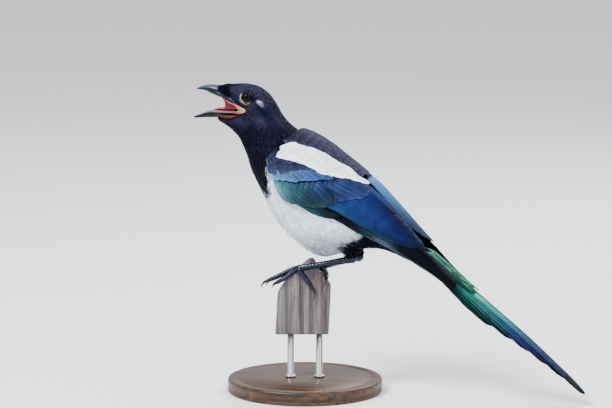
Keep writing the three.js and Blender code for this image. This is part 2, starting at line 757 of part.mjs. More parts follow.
function toe(pad, points) {
  const places = [pad, ...points].map(onPicket);
  const radii = places.map((_, i) => lerp(...TOE_RADII, i / (places.length - 1)));
  return tube(places, radii, { steps: 1, sides: 6 });
}

function claw(points, grow) {
  const places = points.map(onPicket);
  const radii = places.map((_, i) => lerp(...CLAW_RADII, i / (places.length - 1)));
  return tube(places, radii, { steps: 2, sides: 6, grow });
}

function addLeg(name, shape) {
  const cover = shin(shape, GAP);
  const claws = shape.claws.map((points) => claw(points, GAP));
  const ball = new THREE.IcosahedronGeometry(PAD_RADIUS, 1).translate(...onPicket(shape.pad));
  const toes = shape.toes.map((points) => toe(shape.pad, points));
  const foot = joined([shank(shape), solid(ball), ...toes]);
  addNode(`shin_${name}`, without(shin(shape, 0), [torsoBody(GAP)]), BLACK_PLUMAGE);
  addNode(`leg_${name}`, without(foot, [cover, picket(GAP), ...claws]), SCUTE);
  shape.claws.forEach((points, i) => {
    addNode(`claw_${name}_${i + 1}`, without(claw(points, 0), [picket(GAP)]), HORN);
  });
}

// Display stand
function addStand() {
  const rim = BASE_HEIGHT - BASE_CHAMFER;
  const profile = [
    [0, 0],
    [BASE_RADIUS, 0],
    [BASE_RADIUS, rim],
    [BASE_RADIUS - BASE_CHAMFER, BASE_HEIGHT],
    [0, BASE_HEIGHT],
  ].map(([r, z]) => new THREE.Vector2(r, z));
  const disc = new THREE.LatheGeometry(profile, 48);
  disc.rotateX(Math.PI / 2);
  addNode('stand_base', solid(disc), BASE_WOOD, 0);
  const low = BASE_HEIGHT + GAP;
  const high = PERCH_Z + PICKET_FOOT_Z - GAP;
  [-1, 1].forEach((side, i) => {
    const rod = new THREE.CylinderGeometry(ROD_RADIUS, ROD_RADIUS, high - low, 16);
    rod.rotateX(Math.PI / 2);
    const [x, y] = onPicket([side * ROD_SPREAD, 0, 0]);
    rod.translate(x, y, (high + low) / 2);
    addNode(`stand_rod_${i + 1}`, solid(rod), ROD_STEEL, 0);
  });
}

addNode('head', headBody(), BLACK_PLUMAGE);
addNode('neck', neckBody(0), BLACK_PLUMAGE);
addNode('torso', torsoBody(0), WHITE_PLUMAGE);
addNode('bill_upper', billUpper(0), HORN);
addNode('bill_lower', billLower(0), HORN);
addNode('tongue', without(tongue(0), [billLower(GAP)]), TONGUE_PINK);
const mouthParts = [billUpper(GAP), billLower(GAP), tongue(GAP), gape(-1, GAP), gape(1, GAP)];
addNode('mouth_lining', without(mouthLining(0), mouthParts), MOUTH_RED);
for (const [name, side] of [['left', -1], ['right', 1]]) {
  const bills = [billUpper(GAP), billLower(GAP)];
  addNode(`gape_${name}`, without(gape(side, 0), bills), GAPE_CREAM);
  addNode(`eye_${name}`, eye(side, 0), EYE_DARK);
  addNode(`wing_${name}`, wingBody(side), BLUE_PLUMAGE);
  addLeg(name, legShapes[name]);
}
addNode('tail', tailBody(0), GREEN_PLUMAGE);
addNode('perch_picket', picket(0), GREY_WOOD);
addStand();

export default model;
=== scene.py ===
import math
import bpy
import numpy as np
from mathutils import Matrix, Vector, noise
from mathutils.bvhtree import BVHTree


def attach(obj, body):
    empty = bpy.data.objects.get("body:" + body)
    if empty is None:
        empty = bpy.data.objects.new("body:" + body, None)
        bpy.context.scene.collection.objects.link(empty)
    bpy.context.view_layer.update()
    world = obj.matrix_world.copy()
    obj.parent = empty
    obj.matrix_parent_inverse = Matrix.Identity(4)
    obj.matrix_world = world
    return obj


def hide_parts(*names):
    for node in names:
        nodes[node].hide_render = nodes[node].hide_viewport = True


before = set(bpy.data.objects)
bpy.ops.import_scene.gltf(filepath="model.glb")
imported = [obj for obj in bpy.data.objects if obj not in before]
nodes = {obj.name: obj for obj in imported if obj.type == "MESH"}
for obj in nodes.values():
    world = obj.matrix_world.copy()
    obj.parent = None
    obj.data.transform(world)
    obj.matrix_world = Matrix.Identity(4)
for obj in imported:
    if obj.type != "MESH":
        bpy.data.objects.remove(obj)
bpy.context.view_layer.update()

print("solids loaded")

# The whole bird is worked out in millimetres from the top of the perch, with the bill towards -X
# and the bird's left side at -Y, as the solids are.
bird = {"perchHeight": 97.0, "bodySlope": 43.5, "picketTurn": 15.0, "seed": 41}
draw = np.random.default_rng(bird["seed"])
slopeCos, slopeSin = math.cos(math.radians(bird["bodySlope"])), math.sin(math.radians(bird["bodySlope"]))
turnCos, turnSin = math.cos(math.radians(bird["picketTurn"])), math.sin(math.radians(bird["picketTurn"]))


def toMetres(points):
    return (np.asarray(points, float) + [0, 0, bird["perchHeight"]]) / 1000


def toMillimetres(points):
    return np.asarray(points, float) * 1000 - [0, 0, bird["perchHeight"]]


def onSlope(s, y, n):
    # s runs down the back to the tail, n stands out of the back
    s, y, n = np.broadcast_arrays(np.asarray(s, float), np.asarray(y, float), np.asarray(n, float))
    return np.stack([s * slopeCos + n * slopeSin, y, n * slopeCos - s * slopeSin], -1)


def alongSlope(points):
    # s and n of points, the other way round
    x, _, z = np.asarray(points).T
    return x * slopeCos - z * slopeSin, x * slopeSin + z * slopeCos


def onPicket(point):
    u, w, z = point
    return [u * turnCos - w * turnSin, u * turnSin + w * turnCos, z]


def unit(vectors):
    return vectors / np.maximum(np.linalg.norm(vectors, axis=-1, keepdims=True), 1e-9)


def smoothThrough(pairs):
    # a smooth curve through (place, value) pairs, flat beyond both ends
    places, values = np.array(pairs, float).T
    last = len(places) - 1
    before, after = np.maximum(np.arange(last + 1) - 1, 0), np.minimum(np.arange(last + 1) + 1, last)
    slopes = (values[after] - values[before]) / (places[after] - places[before])

    def at(place):
        x = np.clip(np.asarray(place, float), places[0], places[-1])
        i = np.clip(np.searchsorted(places, x, side="right") - 1, 0, last - 1)
        span = places[i + 1] - places[i]
        t = (x - places[i]) / span
        h1, h2, h3 = t * t * (3 - 2 * t), t * (1 - t) ** 2, t * t * (t - 1)
        return values[i] * (1 - h1) + values[i + 1] * h1 + span * (slopes[i] * h2 + slopes[i + 1] * h3)

    return at


def step(low, high, value):
    t = np.clip((value - low) / (high - low), 0, 1)
    return t * t * (3 - 2 * t)


def hexColour(text):
    # sRGB hex to linear
    values = [int(text[i:i + 2], 16) / 255 for i in (0, 2, 4)]
    return [v / 12.92 if v <= 0.04045 else ((v + 0.055) / 1.055) ** 2.4 for v in values] + [1.0]


def blendColours(colours, weights):
    # rows of weights over a list of hex colours, each row divided by its sum
    table = np.array([hexColour(c) for c in colours])
    weights = np.stack(weights, -1)
    return (weights / weights.sum(-1, keepdims=True)) @ table


def addNode(tree, kind, values=None, **settings):
    node = tree.nodes.new(kind)
    for name, value in settings.items():
        setattr(node, name, value)
    for socket, value in (values or {}).items():
        if isinstance(value, bpy.types.NodeSocket):
            tree.links.new(value, node.inputs[socket])
        else:
            node.inputs[socket].default_value = value
    return node


def newMaterial(name, **sockets):
    material = bpy.data.materials.new(name)
    material.use_nodes = True
    shader = material.node_tree.nodes["Principled BSDF"]
    for socket, value in sockets.items():
        shader.inputs[socket.replace("_", " ")].default_value = value
    return material, material.node_tree, shader


def ramp(tree, factor, stops, interpolation="LINEAR"):
    node = addNode(tree, "ShaderNodeValToRGB", {"Fac": factor})
    node.color_ramp.interpolation = interpolation
    while len(node.color_ramp.elements) < len(stops):
        node.color_ramp.elements.new(0.5)
    for element, (place, colour) in zip(node.color_ramp.elements, stops):
        element.position = place
        element.color = hexColour(colour)
    return node.outputs["Color"]


def painted(tree, name="tint", output="Color"):
    return addNode(tree, "ShaderNodeAttribute", attribute_name=name).outputs[output]


def grained(tree, scale, detail, turn=(0, 0, 0), **more):
    # noise by the piece's own place in metres; three scales draw it out along an axis
    place = addNode(tree, "ShaderNodeTexCoord").outputs["Object"]
    if isinstance(scale, tuple):
        drawn = addNode(tree, "ShaderNodeMapping", {"Vector": place, "Rotation": turn, "Scale": scale})
        place, scale = drawn.outputs["Vector"], 1.0
    cloud = addNode(tree, "ShaderNodeTexNoise", {"Vector": place, "Scale": scale, "Detail": detail, **more})
    return cloud.outputs["Fac"]


def levelled(tree, value, low, high, fromLow=0.0, fromHigh=1.0):
    return addNode(tree, "ShaderNodeMapRange", {"Value": value, "From Min": fromLow, "From Max": fromHigh,
                                                "To Min": low, "To Max": high}).outputs["Result"]


def reckoned(tree, operation, *values):
    return addNode(tree, "ShaderNodeMath", dict(enumerate(values)), operation=operation).outputs["Value"]


def scaled(tree, colour, level):
    return addNode(tree, "ShaderNodeVectorMath", {0: colour, "Scale": level}, operation="SCALE").outputs["Vector"]


def raised(tree, height, strength, distance):
    return addNode(tree, "ShaderNodeBump", {"Strength": strength, "Distance": distance,
                                            "Height": height}).outputs["Normal"]


def joined(tree, shader, **sockets):
    for socket, value in sockets.items():
        tree.links.new(value, shader.inputs[socket.replace("_", " ")])


# Meshes from arrays

def meshPiece(name, points, faces, material, maps=None, values=None, smooth=True):
    # points in millimetres; faces is a list of arrays, each with its own number of corners
    mesh = bpy.data.meshes.new(name)
    points = toMetres(points)
    faces = [np.asarray(part, np.int32) for part in faces if len(part)]
    corners = np.concatenate([part.ravel() for part in faces])
    sizes = np.concatenate([np.full(len(part), part.shape[1], np.int32) for part in faces])
    mesh.vertices.add(len(points))
    mesh.vertices.foreach_set("co", points.ravel().astype(np.float32))
    mesh.loops.add(len(corners))
    mesh.loops.foreach_set("vertex_index", corners)
    mesh.polygons.add(len(sizes))
    mesh.polygons.foreach_set("loop_start", np.concatenate([[0], np.cumsum(sizes)[:-1]]).astype(np.int32))
    mesh.polygons.foreach_set("use_smooth", np.full(len(sizes), smooth))
    for key, pairs in (maps or {}).items():
        layer = mesh.uv_layers.new(name=key)
        layer.data.foreach_set("uv", np.asarray(pairs, np.float32)[corners].ravel())
    for key, data in (values or {}).items():
        data = np.asarray(data, np.float32)
        kind, field = ("FLOAT_COLOR", "color") if data.ndim == 2 else ("FLOAT", "value")
        mesh.attributes.new(key, kind, "POINT").data.foreach_set(field, data.ravel())
    mesh.materials.append(material)
    mesh.update(calc_edges=True)
    mesh.validate()
    piece = bpy.data.objects.new(name, mesh)
    bpy.context.scene.collection.objects.link(piece)
    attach(piece, "root")
    return piece


def ringFaces(rows, sides, start=0):
    r, k = np.meshgrid(np.arange(rows - 1), np.arange(sides), indexing="ij")
    a, b = r * sides + k, r * sides + (k + 1) % sides
    return start + np.stack([a, b, b + sides, a + sides], -1).reshape(-1, 4)


def cappedRings(rings):
    # closed tube over rings of points, with a fan at both ends, faces turned outwards
    rows, sides = rings.shape[:2]
    points = np.concatenate([rings.reshape(-1, 3), rings[0].mean(0)[None], rings[-1].mean(0)[None]])
    quads = ringFaces(rows, sides)
    k = np.arange(sides)
    first = np.stack([np.full(sides, rows * sides), (k + 1) % sides, k], -1)
    low = (rows - 1) * sides
    last = np.stack([np.full(sides, rows * sides + 1), low + k, low + (k + 1) % sides], -1)
    tris = np.concatenate([first, last])
    if signedVolume(points, [quads, tris]) < 0:
        quads, tris = quads[:, ::-1], tris[:, ::-1]
    return points, quads, tris


def signedVolume(points, faces):
    total = 0.0
    for part in faces:
        for k in range(1, part.shape[1] - 1):
            a, b, c = points[part[:, 0]], points[part[:, k]], points[part[:, k + 1]]
            total += np.einsum("ij,ij->", a, np.cross(b, c))
    return total


def ovalRings(stations, steps, sides, grow=0.0):
    # stations are (top x, top z, bottom x, bottom z, half width, squareness, height of the widest line)
    table = np.array([row + (1.0, 0.5)[len(row) - 5:] for row in stations])
    at = np.linspace(0, len(table) - 1, (len(table) - 1) * steps + 1)
    rows = np.stack([smoothThrough(list(enumerate(column)))(at) for column in table.T], -1)
    top, bottom = rows[:, 0:2], rows[:, 2:4]
    height = np.linalg.norm(top - bottom, axis=1)
    up = (top - bottom) / height[:, None]
    wide = rows[:, 6]
    angle = np.arange(sides) / sides * 2 * np.pi
    power = rows[:, 5][:, None]
    rise = np.sign(np.cos(angle)) * np.abs(np.cos(angle)) ** power
    side = np.sign(np.sin(angle)) * np.abs(np.sin(angle)) ** power
    reach = np.where(rise > 0, (height * (1 - wide) + grow)[:, None], (height * wide + grow)[:, None])
    centre = bottom + up * (height * wide)[:, None]
    flat = centre[:, None, :] + up[:, None, :] * (rise * reach)[..., None]
    return np.stack([flat[..., 0], side * (rows[:, 4] + grow)[:, None], flat[..., 1]], -1)


def pathPoints(points, count):
    # points along a Catmull-Rom curve, evenly spaced in its parameter
    p = np.array(points, float)
    p = np.concatenate([[2 * p[0] - p[1]], p, [2 * p[-1] - p[-2]]])
    t = np.linspace(0, len(points) - 1, count)
    i = np.minimum(t.astype(int), len(points) - 2)
    f = (t - i)[:, None]
    a, b, c, d = p[i], p[i + 1], p[i + 2], p[i + 3]
    return 0.5 * (2 * b + (c - a) * f + (2 * a - 5 * b + 4 * c - d) * f**2 + (3 * b - a - 3 * c + d) * f**3)


def tubeRings(centres, radii, sides, tall=1.0, lead=(0, 0, 1)):
    # rings round a path; "tall" stretches each ring along the lead direction
    tangent = unit(np.gradient(centres, axis=0))
    side = unit(np.cross(tangent, np.array(lead, float)))
    over = np.cross(side, tangent)
    angle = np.arange(sides) / sides * 2 * np.pi
    radii = np.broadcast_to(np.asarray(radii, float), (len(centres),))
    across = side[:, None] * (np.cos(angle)[None, :, None] * radii[:, None, None])
    upward = over[:, None] * (np.sin(angle)[None, :, None] * radii[:, None, None] * tall)
    return centres[:, None] + across + upward


def joinParts(parts):
    # (points, quads, tris, ...) of several closed forms as one
    points, quads, tris, start = [], [], [], 0
    for part in parts:
        points.append(part[0])
        quads.append(part[1] + start)
        tris.append(part[2] + start)
        start += len(part[0])
    return np.concatenate(points), np.concatenate(quads), np.concatenate(tris)


def roughened(points, size, depth, stretch=(1, 1, 1), seed=0.0):
    # a noise value for each point, at a size in millimetres
    scaled = np.asarray(points) / (size * np.array(stretch, float)) + seed
    return np.array([noise.noise(Vector(p)) for p in scaled]) * depth


def vertexNormals(points, faces):
    total = np.zeros_like(points)
    for part in faces:
        a, b, c = points[part[:, 0]], points[part[:, 1]], points[part[:, 2]]
        normal = np.cross(b - a, c - a)
        if part.shape[1] == 4:
            normal = normal + np.cross(c - a, points[part[:, 3]] - a)
        for k in range(part.shape[1]):
            np.add.at(total, part[:, k], normal)
    return unit(total)


# The form under the feathers

form = {
    "voxel": 1.3,       # mm, closes the thin cuts between the solids
    "smoothing": 9,
    "coatDepth": 1.5,   # mm from the solids' surface down to the skin
    "faceDepth": 0.5,
}
fleshNodes = ["head", "neck", "torso", "shin_left", "shin_right"]

# Folded wing: an oval tube round the body, s along it and q from the back's middle line to its edge
wingHalf = smoothThrough([
    (-104, 23), (-90, 30.5), (-72, 34.5), (-57, 36), (-32, 35.5), (-13, 34),
    (2, 32), (28, 28.5), (53, 26), (70, 24), (100, 21)])
wingTop = smoothThrough([
    (-104, 94), (-90, 101), (-72, 106), (-57, 108), (-32, 111), (-13, 112),
    (2, 111.5), (28, 110), (53, 108.5), (70, 107.8), (100, 107)])
wingWide = smoothThrough([
    (-104, 72), (-90, 69.5), (-72, 70), (-57, 72), (-46, 75.5), (-32, 80), (-13, 86),
    (2, 89.5), (28, 94.5), (53, 98.5), (70, 101), (100, 103.5)])
wingReach = smoothThrough([
    (-104, 90), (-90, 100), (-72, 108), (-46, 111), (-32, 115), (-13, 115),
    (2, 120), (28, 117), (53, 110), (70, 106), (100, 100)])
farTuck = {"drop": 1.8, "reach": 0.93}


def wingPlace(side, s, q, lift):
    s, q, lift = np.broadcast_arrays(np.asarray(s, float), np.asarray(q, float), np.asarray(lift, float))
    angle = np.radians(q * wingReach(s))
    half, rise = wingHalf(s), wingTop(s) - wingWide(s)
    outY, outN = np.sin(angle) / half, np.cos(angle) / rise
    size = np.hypot(outY, outN)
    y = half * np.sin(angle) + lift * outY / size
    n = wingWide(s) + rise * np.cos(angle) + lift * outN / size
    if side < 0:
        return onSlope(s, -y, n)
    return onSlope(np.where(s > 0, s * farTuck["reach"], s), y, n - farTuck["drop"])


def wingSpan(s, q):
    # millimetres round the tube for one unit of q
    return np.linalg.norm(wingPlace(-1, s, q + 0.02, 0) - wingPlace(-1, s, q - 0.02, 0), axis=-1) / 0.04


def wingSlab(side, rows=30, columns=12):
    # the fleshy wing under its feathers
    inner = smoothThrough([(0, 0.46), (0.2, 0.32), (0.5, 0.16), (1, 0.2)])
    outer = smoothThrough([(0, 0.8), (0.12, 0.95), (0.6, 0.94), (1, 0.76)])
    deep = smoothThrough([(0, 3), (0.2, 9), (0.6, 8), (1, 1.5)])
    rings = []
    for u in np.linspace(0, 1, rows):
        across = np.linspace(inner(u), outer(u), columns)
        s = -101 + 155 * u
        above = wingPlace(side, s, across, 0.6)
        below = wingPlace(side, s, across[::-1], -deep(u))
        rings.append(np.concatenate([above, below]))
    return cappedRings(np.array(rings))


tailTop = smoothThrough([
    (30, 101), (60, 104), (90, 106.8), (115, 108.7), (140, 110.5), (161, 112.2), (184, 113.4),
    (208, 114), (230, 114.4), (246, 113.8)])
tailTips = [245, 226, 206, 187, 168, 147]


def tailPlace(s, y, lift):
    return onSlope(s, y, tailTop(s) - np.square(y) / 75 + lift)


def rumpForm():
    # the feathered root of the tail
    stations = []
    for s, top, low, half in [(46, 103.2, 86, 18), (64, 104.4, 90, 16.4), (80, 105.8, 94, 14.2),
                              (96, 106.6, 98, 10.6), (106, 106.6, 102, 4)]:
        (topX, _, topZ), (lowX, _, lowZ) = onSlope(s, 0, top), onSlope(s, 0, low)
        stations.append((topX, topZ, lowX, lowZ, half))
    return cappedRings(ovalRings(stations, 4, 24))


def shapeOf(node):
    mesh = nodes[node].data
    points = np.zeros(len(mesh.vertices) * 3, np.float32)
    mesh.vertices.foreach_get("co", points)
    mesh.calc_loop_triangles()
    tris = np.zeros(len(mesh.loop_triangles) * 3, np.int32)
    mesh.loop_triangles.foreach_get("vertices", tris)
    return toMillimetres(points.reshape(-1, 3)), np.zeros((0, 4), int), tris.reshape(-1, 3)


def remeshed(parts, voxel, smoothing):
    # closed forms fused into one even surface, in the same units as they come
    points, quads, tris = joinParts(parts)
    mesh = bpy.data.meshes.new("form")
    mesh.from_pydata(points.tolist(), [], quads.tolist() + tris.tolist())
    shape = bpy.data.objects.new("form", mesh)
    bpy.context.scene.collection.objects.link(shape)
    welded = shape.modifiers.new("weld", "WELD")
    welded.merge_threshold = 0.001
    fused = shape.modifiers.new("fused", "REMESH")
    fused.mode = "VOXEL"
    fused.voxel_size = voxel
    soft = shape.modifiers.new("soft", "SMOOTH")
    soft.factor = 0.5
    soft.iterations = smoothing
    result = bpy.data.meshes.new_from_object(shape.evaluated_get(bpy.context.evaluated_depsgraph_get()))
    made = np.zeros(len(result.vertices) * 3, np.float32)
    result.vertices.foreach_get("co", made)
    sides = np.array([len(p.vertices) for p in result.polygons])
    corners = np.zeros(sides.sum(), np.int32)
    result.loops.foreach_get("vertex_index", corners)
    if not (sides == 4).all():
        raise RuntimeError("the fused form has faces that are not quads")
    bpy.data.objects.remove(shape)
    bpy.data.meshes.remove(mesh)
    bpy.data.meshes.remove(result)
    return made.reshape(-1, 3).astype(float), corners.reshape(-1, 4)


# The lie of the coat follows a line from the bill through the body to the tail
lieLine = np.array([
    [-100, 0, 168], [-78, 0, 166], [-58, 0, 160], [-43, 0, 146], [-33, 0, 128], [-27, 0, 118], [-18, 0, 110],
    [-6, 0, 97], [4, 0, 86], [17, 0, 73], [32, 0, 60], [46, 0, 53], [63, 0, 49], [82, 0, 44], [102, 0, 33],
    [150, 0, -8]], float)
lieLine = pathPoints(lieLine, 120)
lieTangent = unit(np.gradient(lieLine, axis=0))
lieLength = np.concatenate([[0], np.cumsum(np.linalg.norm(np.diff(lieLine, axis=0), axis=1))])


def nearestOnLie(points):
    best = np.zeros(len(points), int)
    for start in range(0, len(points), 20000):
        part = points[start:start + 20000] * [1, 0.25, 1]
        best[start:start + 20000] = np.argmin(
            ((part[:, None] - lieLine[None]) ** 2).sum(-1), axis=1)
    return best


def unwrap(points):
    # an unwrap of the body's own shape: round the lie line, and along it
    i = nearestOnLie(points)
    tangent = lieTangent[i]
    up = unit(np.stack([-tangent[:, 2], np.zeros(len(i)), tangent[:, 0]], -1))
    up = np.where(up[:, 2:3] < 0, -up, up)
    away = points - lieLine[i]
    around = np.arctan2(away[:, 1], (away * up).sum(-1)) / (2 * np.pi) + 0.5
    along = (lieLength[i] + (away * tangent).sum(-1)) / lieLength[-1]
    return np.stack([0.02 + 0.96 * around, np.clip(0.02 + 0.96 * along, 0, 1)], -1)


shinLine = {-1: ((36, -15, 50), (48.4, -12.5, 27.6)), 1: ((36, 15, 50), (47.1, 17.4, 24.6))}


def lieDirection(points, normals):
    flow = lieTangent[nearestOnLie(points)].copy()
    for side, (hip, heel) in shinLine.items():
        near = (points[:, 1] * side > 6) & (points[:, 0] > 30) & (points[:, 2] < 40) & (points[:, 0] < 60)
        down = unit(np.subtract(heel, hip)[None])[0]
        flow[near] = down
    flow = flow - normals * (flow * normals).sum(-1, keepdims=True)
    return unit(flow)


# Markings, with painted sheen, shade and highlights, the same for skin and coat

def markings(points):
    # 1 where the coat is black, 0 where it is white
    x, y, z = points.T
    s, n = alongSlope(points)
    wobble = 1.6 * np.sin(z * 0.55 + y * 0.4) + 1.2 * np.sin(x * 0.7 - y * 0.63 + 1.3)
    side = step(6, 24, np.abs(y))
    bibX = -35.5 + 8 * side + 0.6 * wobble
    bib = step(bibX + 1.4, bibX - 1.4, x) * step(73, 77, z + 0.5 * wobble)
    mantle = step(96.5, 99.5, n + 0.6 * wobble - 2.5 * step(-70, -100, s)) * step(-30, -34, -x)
    neckTop = step(112, 118, z + 0.35 * (x + 25) + wobble * 0.5)
    vent = step(2, 6, s + 0.3 * np.maximum(0, np.abs(y) - 22) + 0.05 * (60 - n) + 0.8 * wobble)
    thigh = step(33, 37, x + 0.5 * wobble) * step(45, 41, z) * step(5, 9, np.abs(y))
    return np.clip(bib + mantle + neckTop + vent + thigh, 0, 1)


# black and white are the plumage's own colours; crown and bluish are painted sheen on the black head, shade is painted
# shade low on the belly, spot is a painted highlight behind each eye
plumage = {
    "black": "0d0d14", "crown": "4a4660", "bluish": "1c2236", "white": "e9eff9", "shade": "7c8594", "spotHighlight": "dfe8f4",
}


def plumageColour(points):
    black = markings(points)
    x, y, z = points.T
    head = step(140, 150, z)
    # painted sheen: purple and blue in waves over the black head
    gloss = 0.5 + 0.5 * np.sin(x * 0.31 + z * 0.23 + y * 0.37)
    # painted shade: the white turns grey low on the belly
    under = step(64, 40, z) * step(-12, 16, x) * (1 - black)
    # painted highlight: a small pale blue-white streak behind each eye
    spotHighlight = 3 * np.exp(-((x + 38.5) / 2.6) ** 2 - ((z - 165.6 + 0.4 * (x + 38.5)) / 1.3) ** 2) * (np.abs(y) > 8)
    # painted sheen: purple on the crown's top, bluish on the ear coverts
    top = step(172, 178, z) * step(-72, -60, x)
    cheekSheen = np.exp(-((x + 45) / 9) ** 2 - ((z - 156) / 7) ** 2)
    return blendColours(
        [plumage[k] for k in ("black", "crown", "bluish", "white", "shade", "spotHighlight")],
        [black * (1 - 0.5 * head), black * (0.5 * head * (1 - gloss) + 1.2 * top),
         black * head * (0.5 * gloss + cheekSheen) + 1e-6, (1 - black) * (1 - 0.6 * under), (1 - black) * 0.6 * under,
         np.clip(spotHighlight - 0.4, 0, 3)])


formPoints, formQuads = remeshed(
    [shapeOf(name) for name in fleshNodes] + [wingSlab(-1), wingSlab(1), rumpForm()],
    form["voxel"], form["smoothing"])
formNormals = vertexNormals(formPoints, [formQuads])
faceness = step(-38, -62, formPoints[:, 0]) * step(138, 150, formPoints[:, 2])
depth = form["coatDepth"] + (form["faceDepth"] - form["coatDepth"]) * faceness
skinPoints = formPoints - formNormals * depth[:, None]
skinTree = BVHTree.FromPolygons([Vector(p) for p in skinPoints], formQuads.tolist())
print("form under the feathers:", len(formQuads), "faces")

# Skin: hidden down and dark skin below the coat, as soft and dull as felt
skinLook, tree, shader = newMaterial("downyUnderlayer", Roughness=0.85)
joined(tree, shader, Base_Color=painted(tree))
skinColour = plumageColour(skinPoints)
skinColour[:, :3] *= 0.55
skinPiece = meshPiece("skin", skinPoints, [formQuads], skinLook,
                      maps={"OFBake": unwrap(skinPoints)}, values={"tint": skinColour})
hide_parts(*fleshNodes)


# Body feathers: each is a fan of barbs joined low down, so that its edge is soft

def tuftShapes(barbs, fan, kinds=5):
    # local points: along (0 to 1), across (-0.5 to 0.5), height (0 to 1)
    rows = np.array([0, 0.4, 0.75])
    made = []
    for _ in range(kinds):
        places = []
        for k in range(barbs):
            lane = (k + 0.5) / barbs * 2 - 1
            lane += draw.normal(0, 0.25 / barbs)
            reach = (1 - 0.32 * lane * lane) * draw.uniform(0.86, 1.04)
            for t in rows:
                spread = 0.32 + (fan - 0.32) * t
                width = (1.25 - 0.62 * t) / barbs
                places += [(t * reach, 0.5 * (lane * spread + end * width), t) for end in (-1, 1)]
            places.append((reach, 0.5 * lane * (fan + 0.12) + draw.normal(0, 0.3 / barbs), 1.0))
        k = np.arange(barbs)[:, None] * 7
        faces = np.array([[0, 1, 3], [0, 3, 2], [2, 3, 5], [2, 5, 4], [4, 5, 6]])
        made.append((np.array(places), (k[:, :, None] + faces[None]).reshape(-1, 3)))
    return made


corners = skinPoints[formQuads]
skinFaceNormals = unit(np.cross(corners[:, 2] - corners[:, 0], corners[:, 3] - corners[:, 1]))
if signedVolume(skinPoints, [formQuads]) < 0:
    skinFaceNormals = -skinFaceNormals


def scattered(count):
    # even places on the skin, with the skin's normal and the lie of the coat there
    area = np.linalg.norm(np.cross(corners[:, 2] - corners[:, 0], corners[:, 3] - corners[:, 1]), axis=1) / 2
    pick = draw.choice(len(area), count, p=area / area.sum())
    u, v = draw.random((2, count, 1))
    c = corners[pick]
    places = (c[:, 0] * (1 - u) + c[:, 1] * u) * (1 - v) + (c[:, 3] * (1 - u) + c[:, 2] * u) * v
    return places, skinFaceNormals[pick], lieDirection(places, skinFaceNormals[pick])


def oneToACell(places, spacing):
    cell = np.floor(places / spacing + 0.5).astype(int)
    _, first = np.unique(cell, axis=0, return_index=True)
    return first


def followSkin(places):
    # the nearest skin and its normal for each place
    found = [skinTree.find_nearest(Vector(p)) for p in places]
    return np.array([f[0] for f in found]), np.array([f[1] for f in found])


def growTufts(roots, normals, length, width, lift, shapes, turn=0.13, sink=0.3):
    # length, width and lift hold one value for each root; returns points, faces, and each point's root
    count = len(roots)
    flow = lieDirection(roots, normals)
    side = np.cross(normals, flow)
    angle = draw.normal(0, turn, count)[:, None]
    flow = flow * np.cos(angle) + side * np.sin(angle)
    centres, ups = [roots], [normals]
    for _ in range(2):
        ahead, up = followSkin(centres[-1] + flow * (length * 0.5)[:, None])
        up = np.where((up * ups[-1]).sum(-1, keepdims=True) < -0.2, -up, up)
        stepTo = unit(ahead - centres[-1]) * (length * 0.5)[:, None]
        centres.append(centres[-1] + stepTo)
        ups.append(unit(up + 0.3 * ups[-1]))
        flow = unit(stepTo - up * (stepTo * up).sum(-1, keepdims=True))
    kind = draw.integers(0, len(shapes), count)
    points, faces, owner, local, start = [], [], [], [], 0
    for k, (shape, tris) in enumerate(shapes):
        mine = np.nonzero(kind == k)[0]
        if not len(mine):
            continue
        a, b, h = shape.T
        w0, w1, w2 = (1 - 2 * a) * (1 - a), 4 * a * (1 - a), a * (2 * a - 1)
        weights = np.stack([w0, w1, w2])
        centre = sum(w[None, :, None] * c[mine][:, None] for w, c in zip(weights, centres))
        up = unit(sum(w[None, :, None] * c[mine][:, None] for w, c in zip(weights, ups)))
        along = unit((centres[2] - centres[0])[mine])
        across = unit(np.cross(up, along[:, None]))
        bend = draw.normal(0, 0.06, (len(mine), 1, 1)) * (a * a)[None, :, None] * length[mine][:, None, None]
        rise = -sink + (lift[mine] + sink)[:, None] * h[None] + draw.normal(0, 0.12, (len(mine), len(a))) * h[None]
        rise = rise - 2.0 * (b[None] ** 2) * width[mine][:, None] * 0.25
        at = centre + across * ((b[None] * width[mine][:, None])[..., None] + bend) + up * rise[..., None]
        points.append(at.reshape(-1, 3))
        faces.append((tris[None] + (start + np.arange(len(mine)) * len(a))[:, None, None]).reshape(-1, 3))
        owner.append(np.repeat(mine, len(a)))
        local.append(np.tile(np.stack([a, b], -1), (len(mine), 1)))
        start += len(mine) * len(a)
    return [np.concatenate(rows) for rows in (points, faces, owner, local)]


def coatPiece(name, roots, normals, length, width, lift, shapes, material, slot):
    points, faces, owner, local = growTufts(roots, normals, length, width, lift, shapes)
    rootMap = unwrap(roots)
    patch = rootMap[owner] + np.stack([local[:, 1], local[:, 0] - 0.5], -1) * 0.003
    shown = roots + lieDirection(roots, normals) * (length * coat["shownAt"])[:, None]
    tone = plumageColour(shown)[owner]
    vary = draw.normal(1, 0.1, len(roots))[owner]
    rootShade = 1 - coat["rootShade"] * (1 - step(0.1, 0.7, local[:, 0]))
    tone[:, :3] *= (vary * rootShade)[:, None]
    return meshPiece(name, points, [faces], material,
                     maps={"OFBake": np.clip(patch, 0, 1)}, values={"tint": np.clip(tone, 0, 1)})


def plumageMaterial(name, roughness, sheen, sheenTint, gloss, glossTint):
    # keratin barbs with a film of oil: dull between the barbs, a soft shine along them
    material, tree, shader = newMaterial(
        name, Roughness=roughness, Sheen_Weight=sheen, Sheen_Roughness=0.4, Sheen_Tint=hexColour(sheenTint),
        IOR=1.54, Specular_IOR_Level=gloss, Specular_Tint=hexColour(glossTint))
    clumps = levelled(tree, grained(tree, 260.0, 3.0), 0.8, 1.2)
    joined(tree, shader, Base_Color=scaled(tree, painted(tree), clumps))
    return material


blackCoat = plumageMaterial("glossyBlackFeather", 0.5, 0.06, "5a5f9c", 0.3, "9a94e0")
whiteCoat = plumageMaterial("softWhiteFeather", 0.8, 0.2, "ffffff", 0.2, "ffffff")

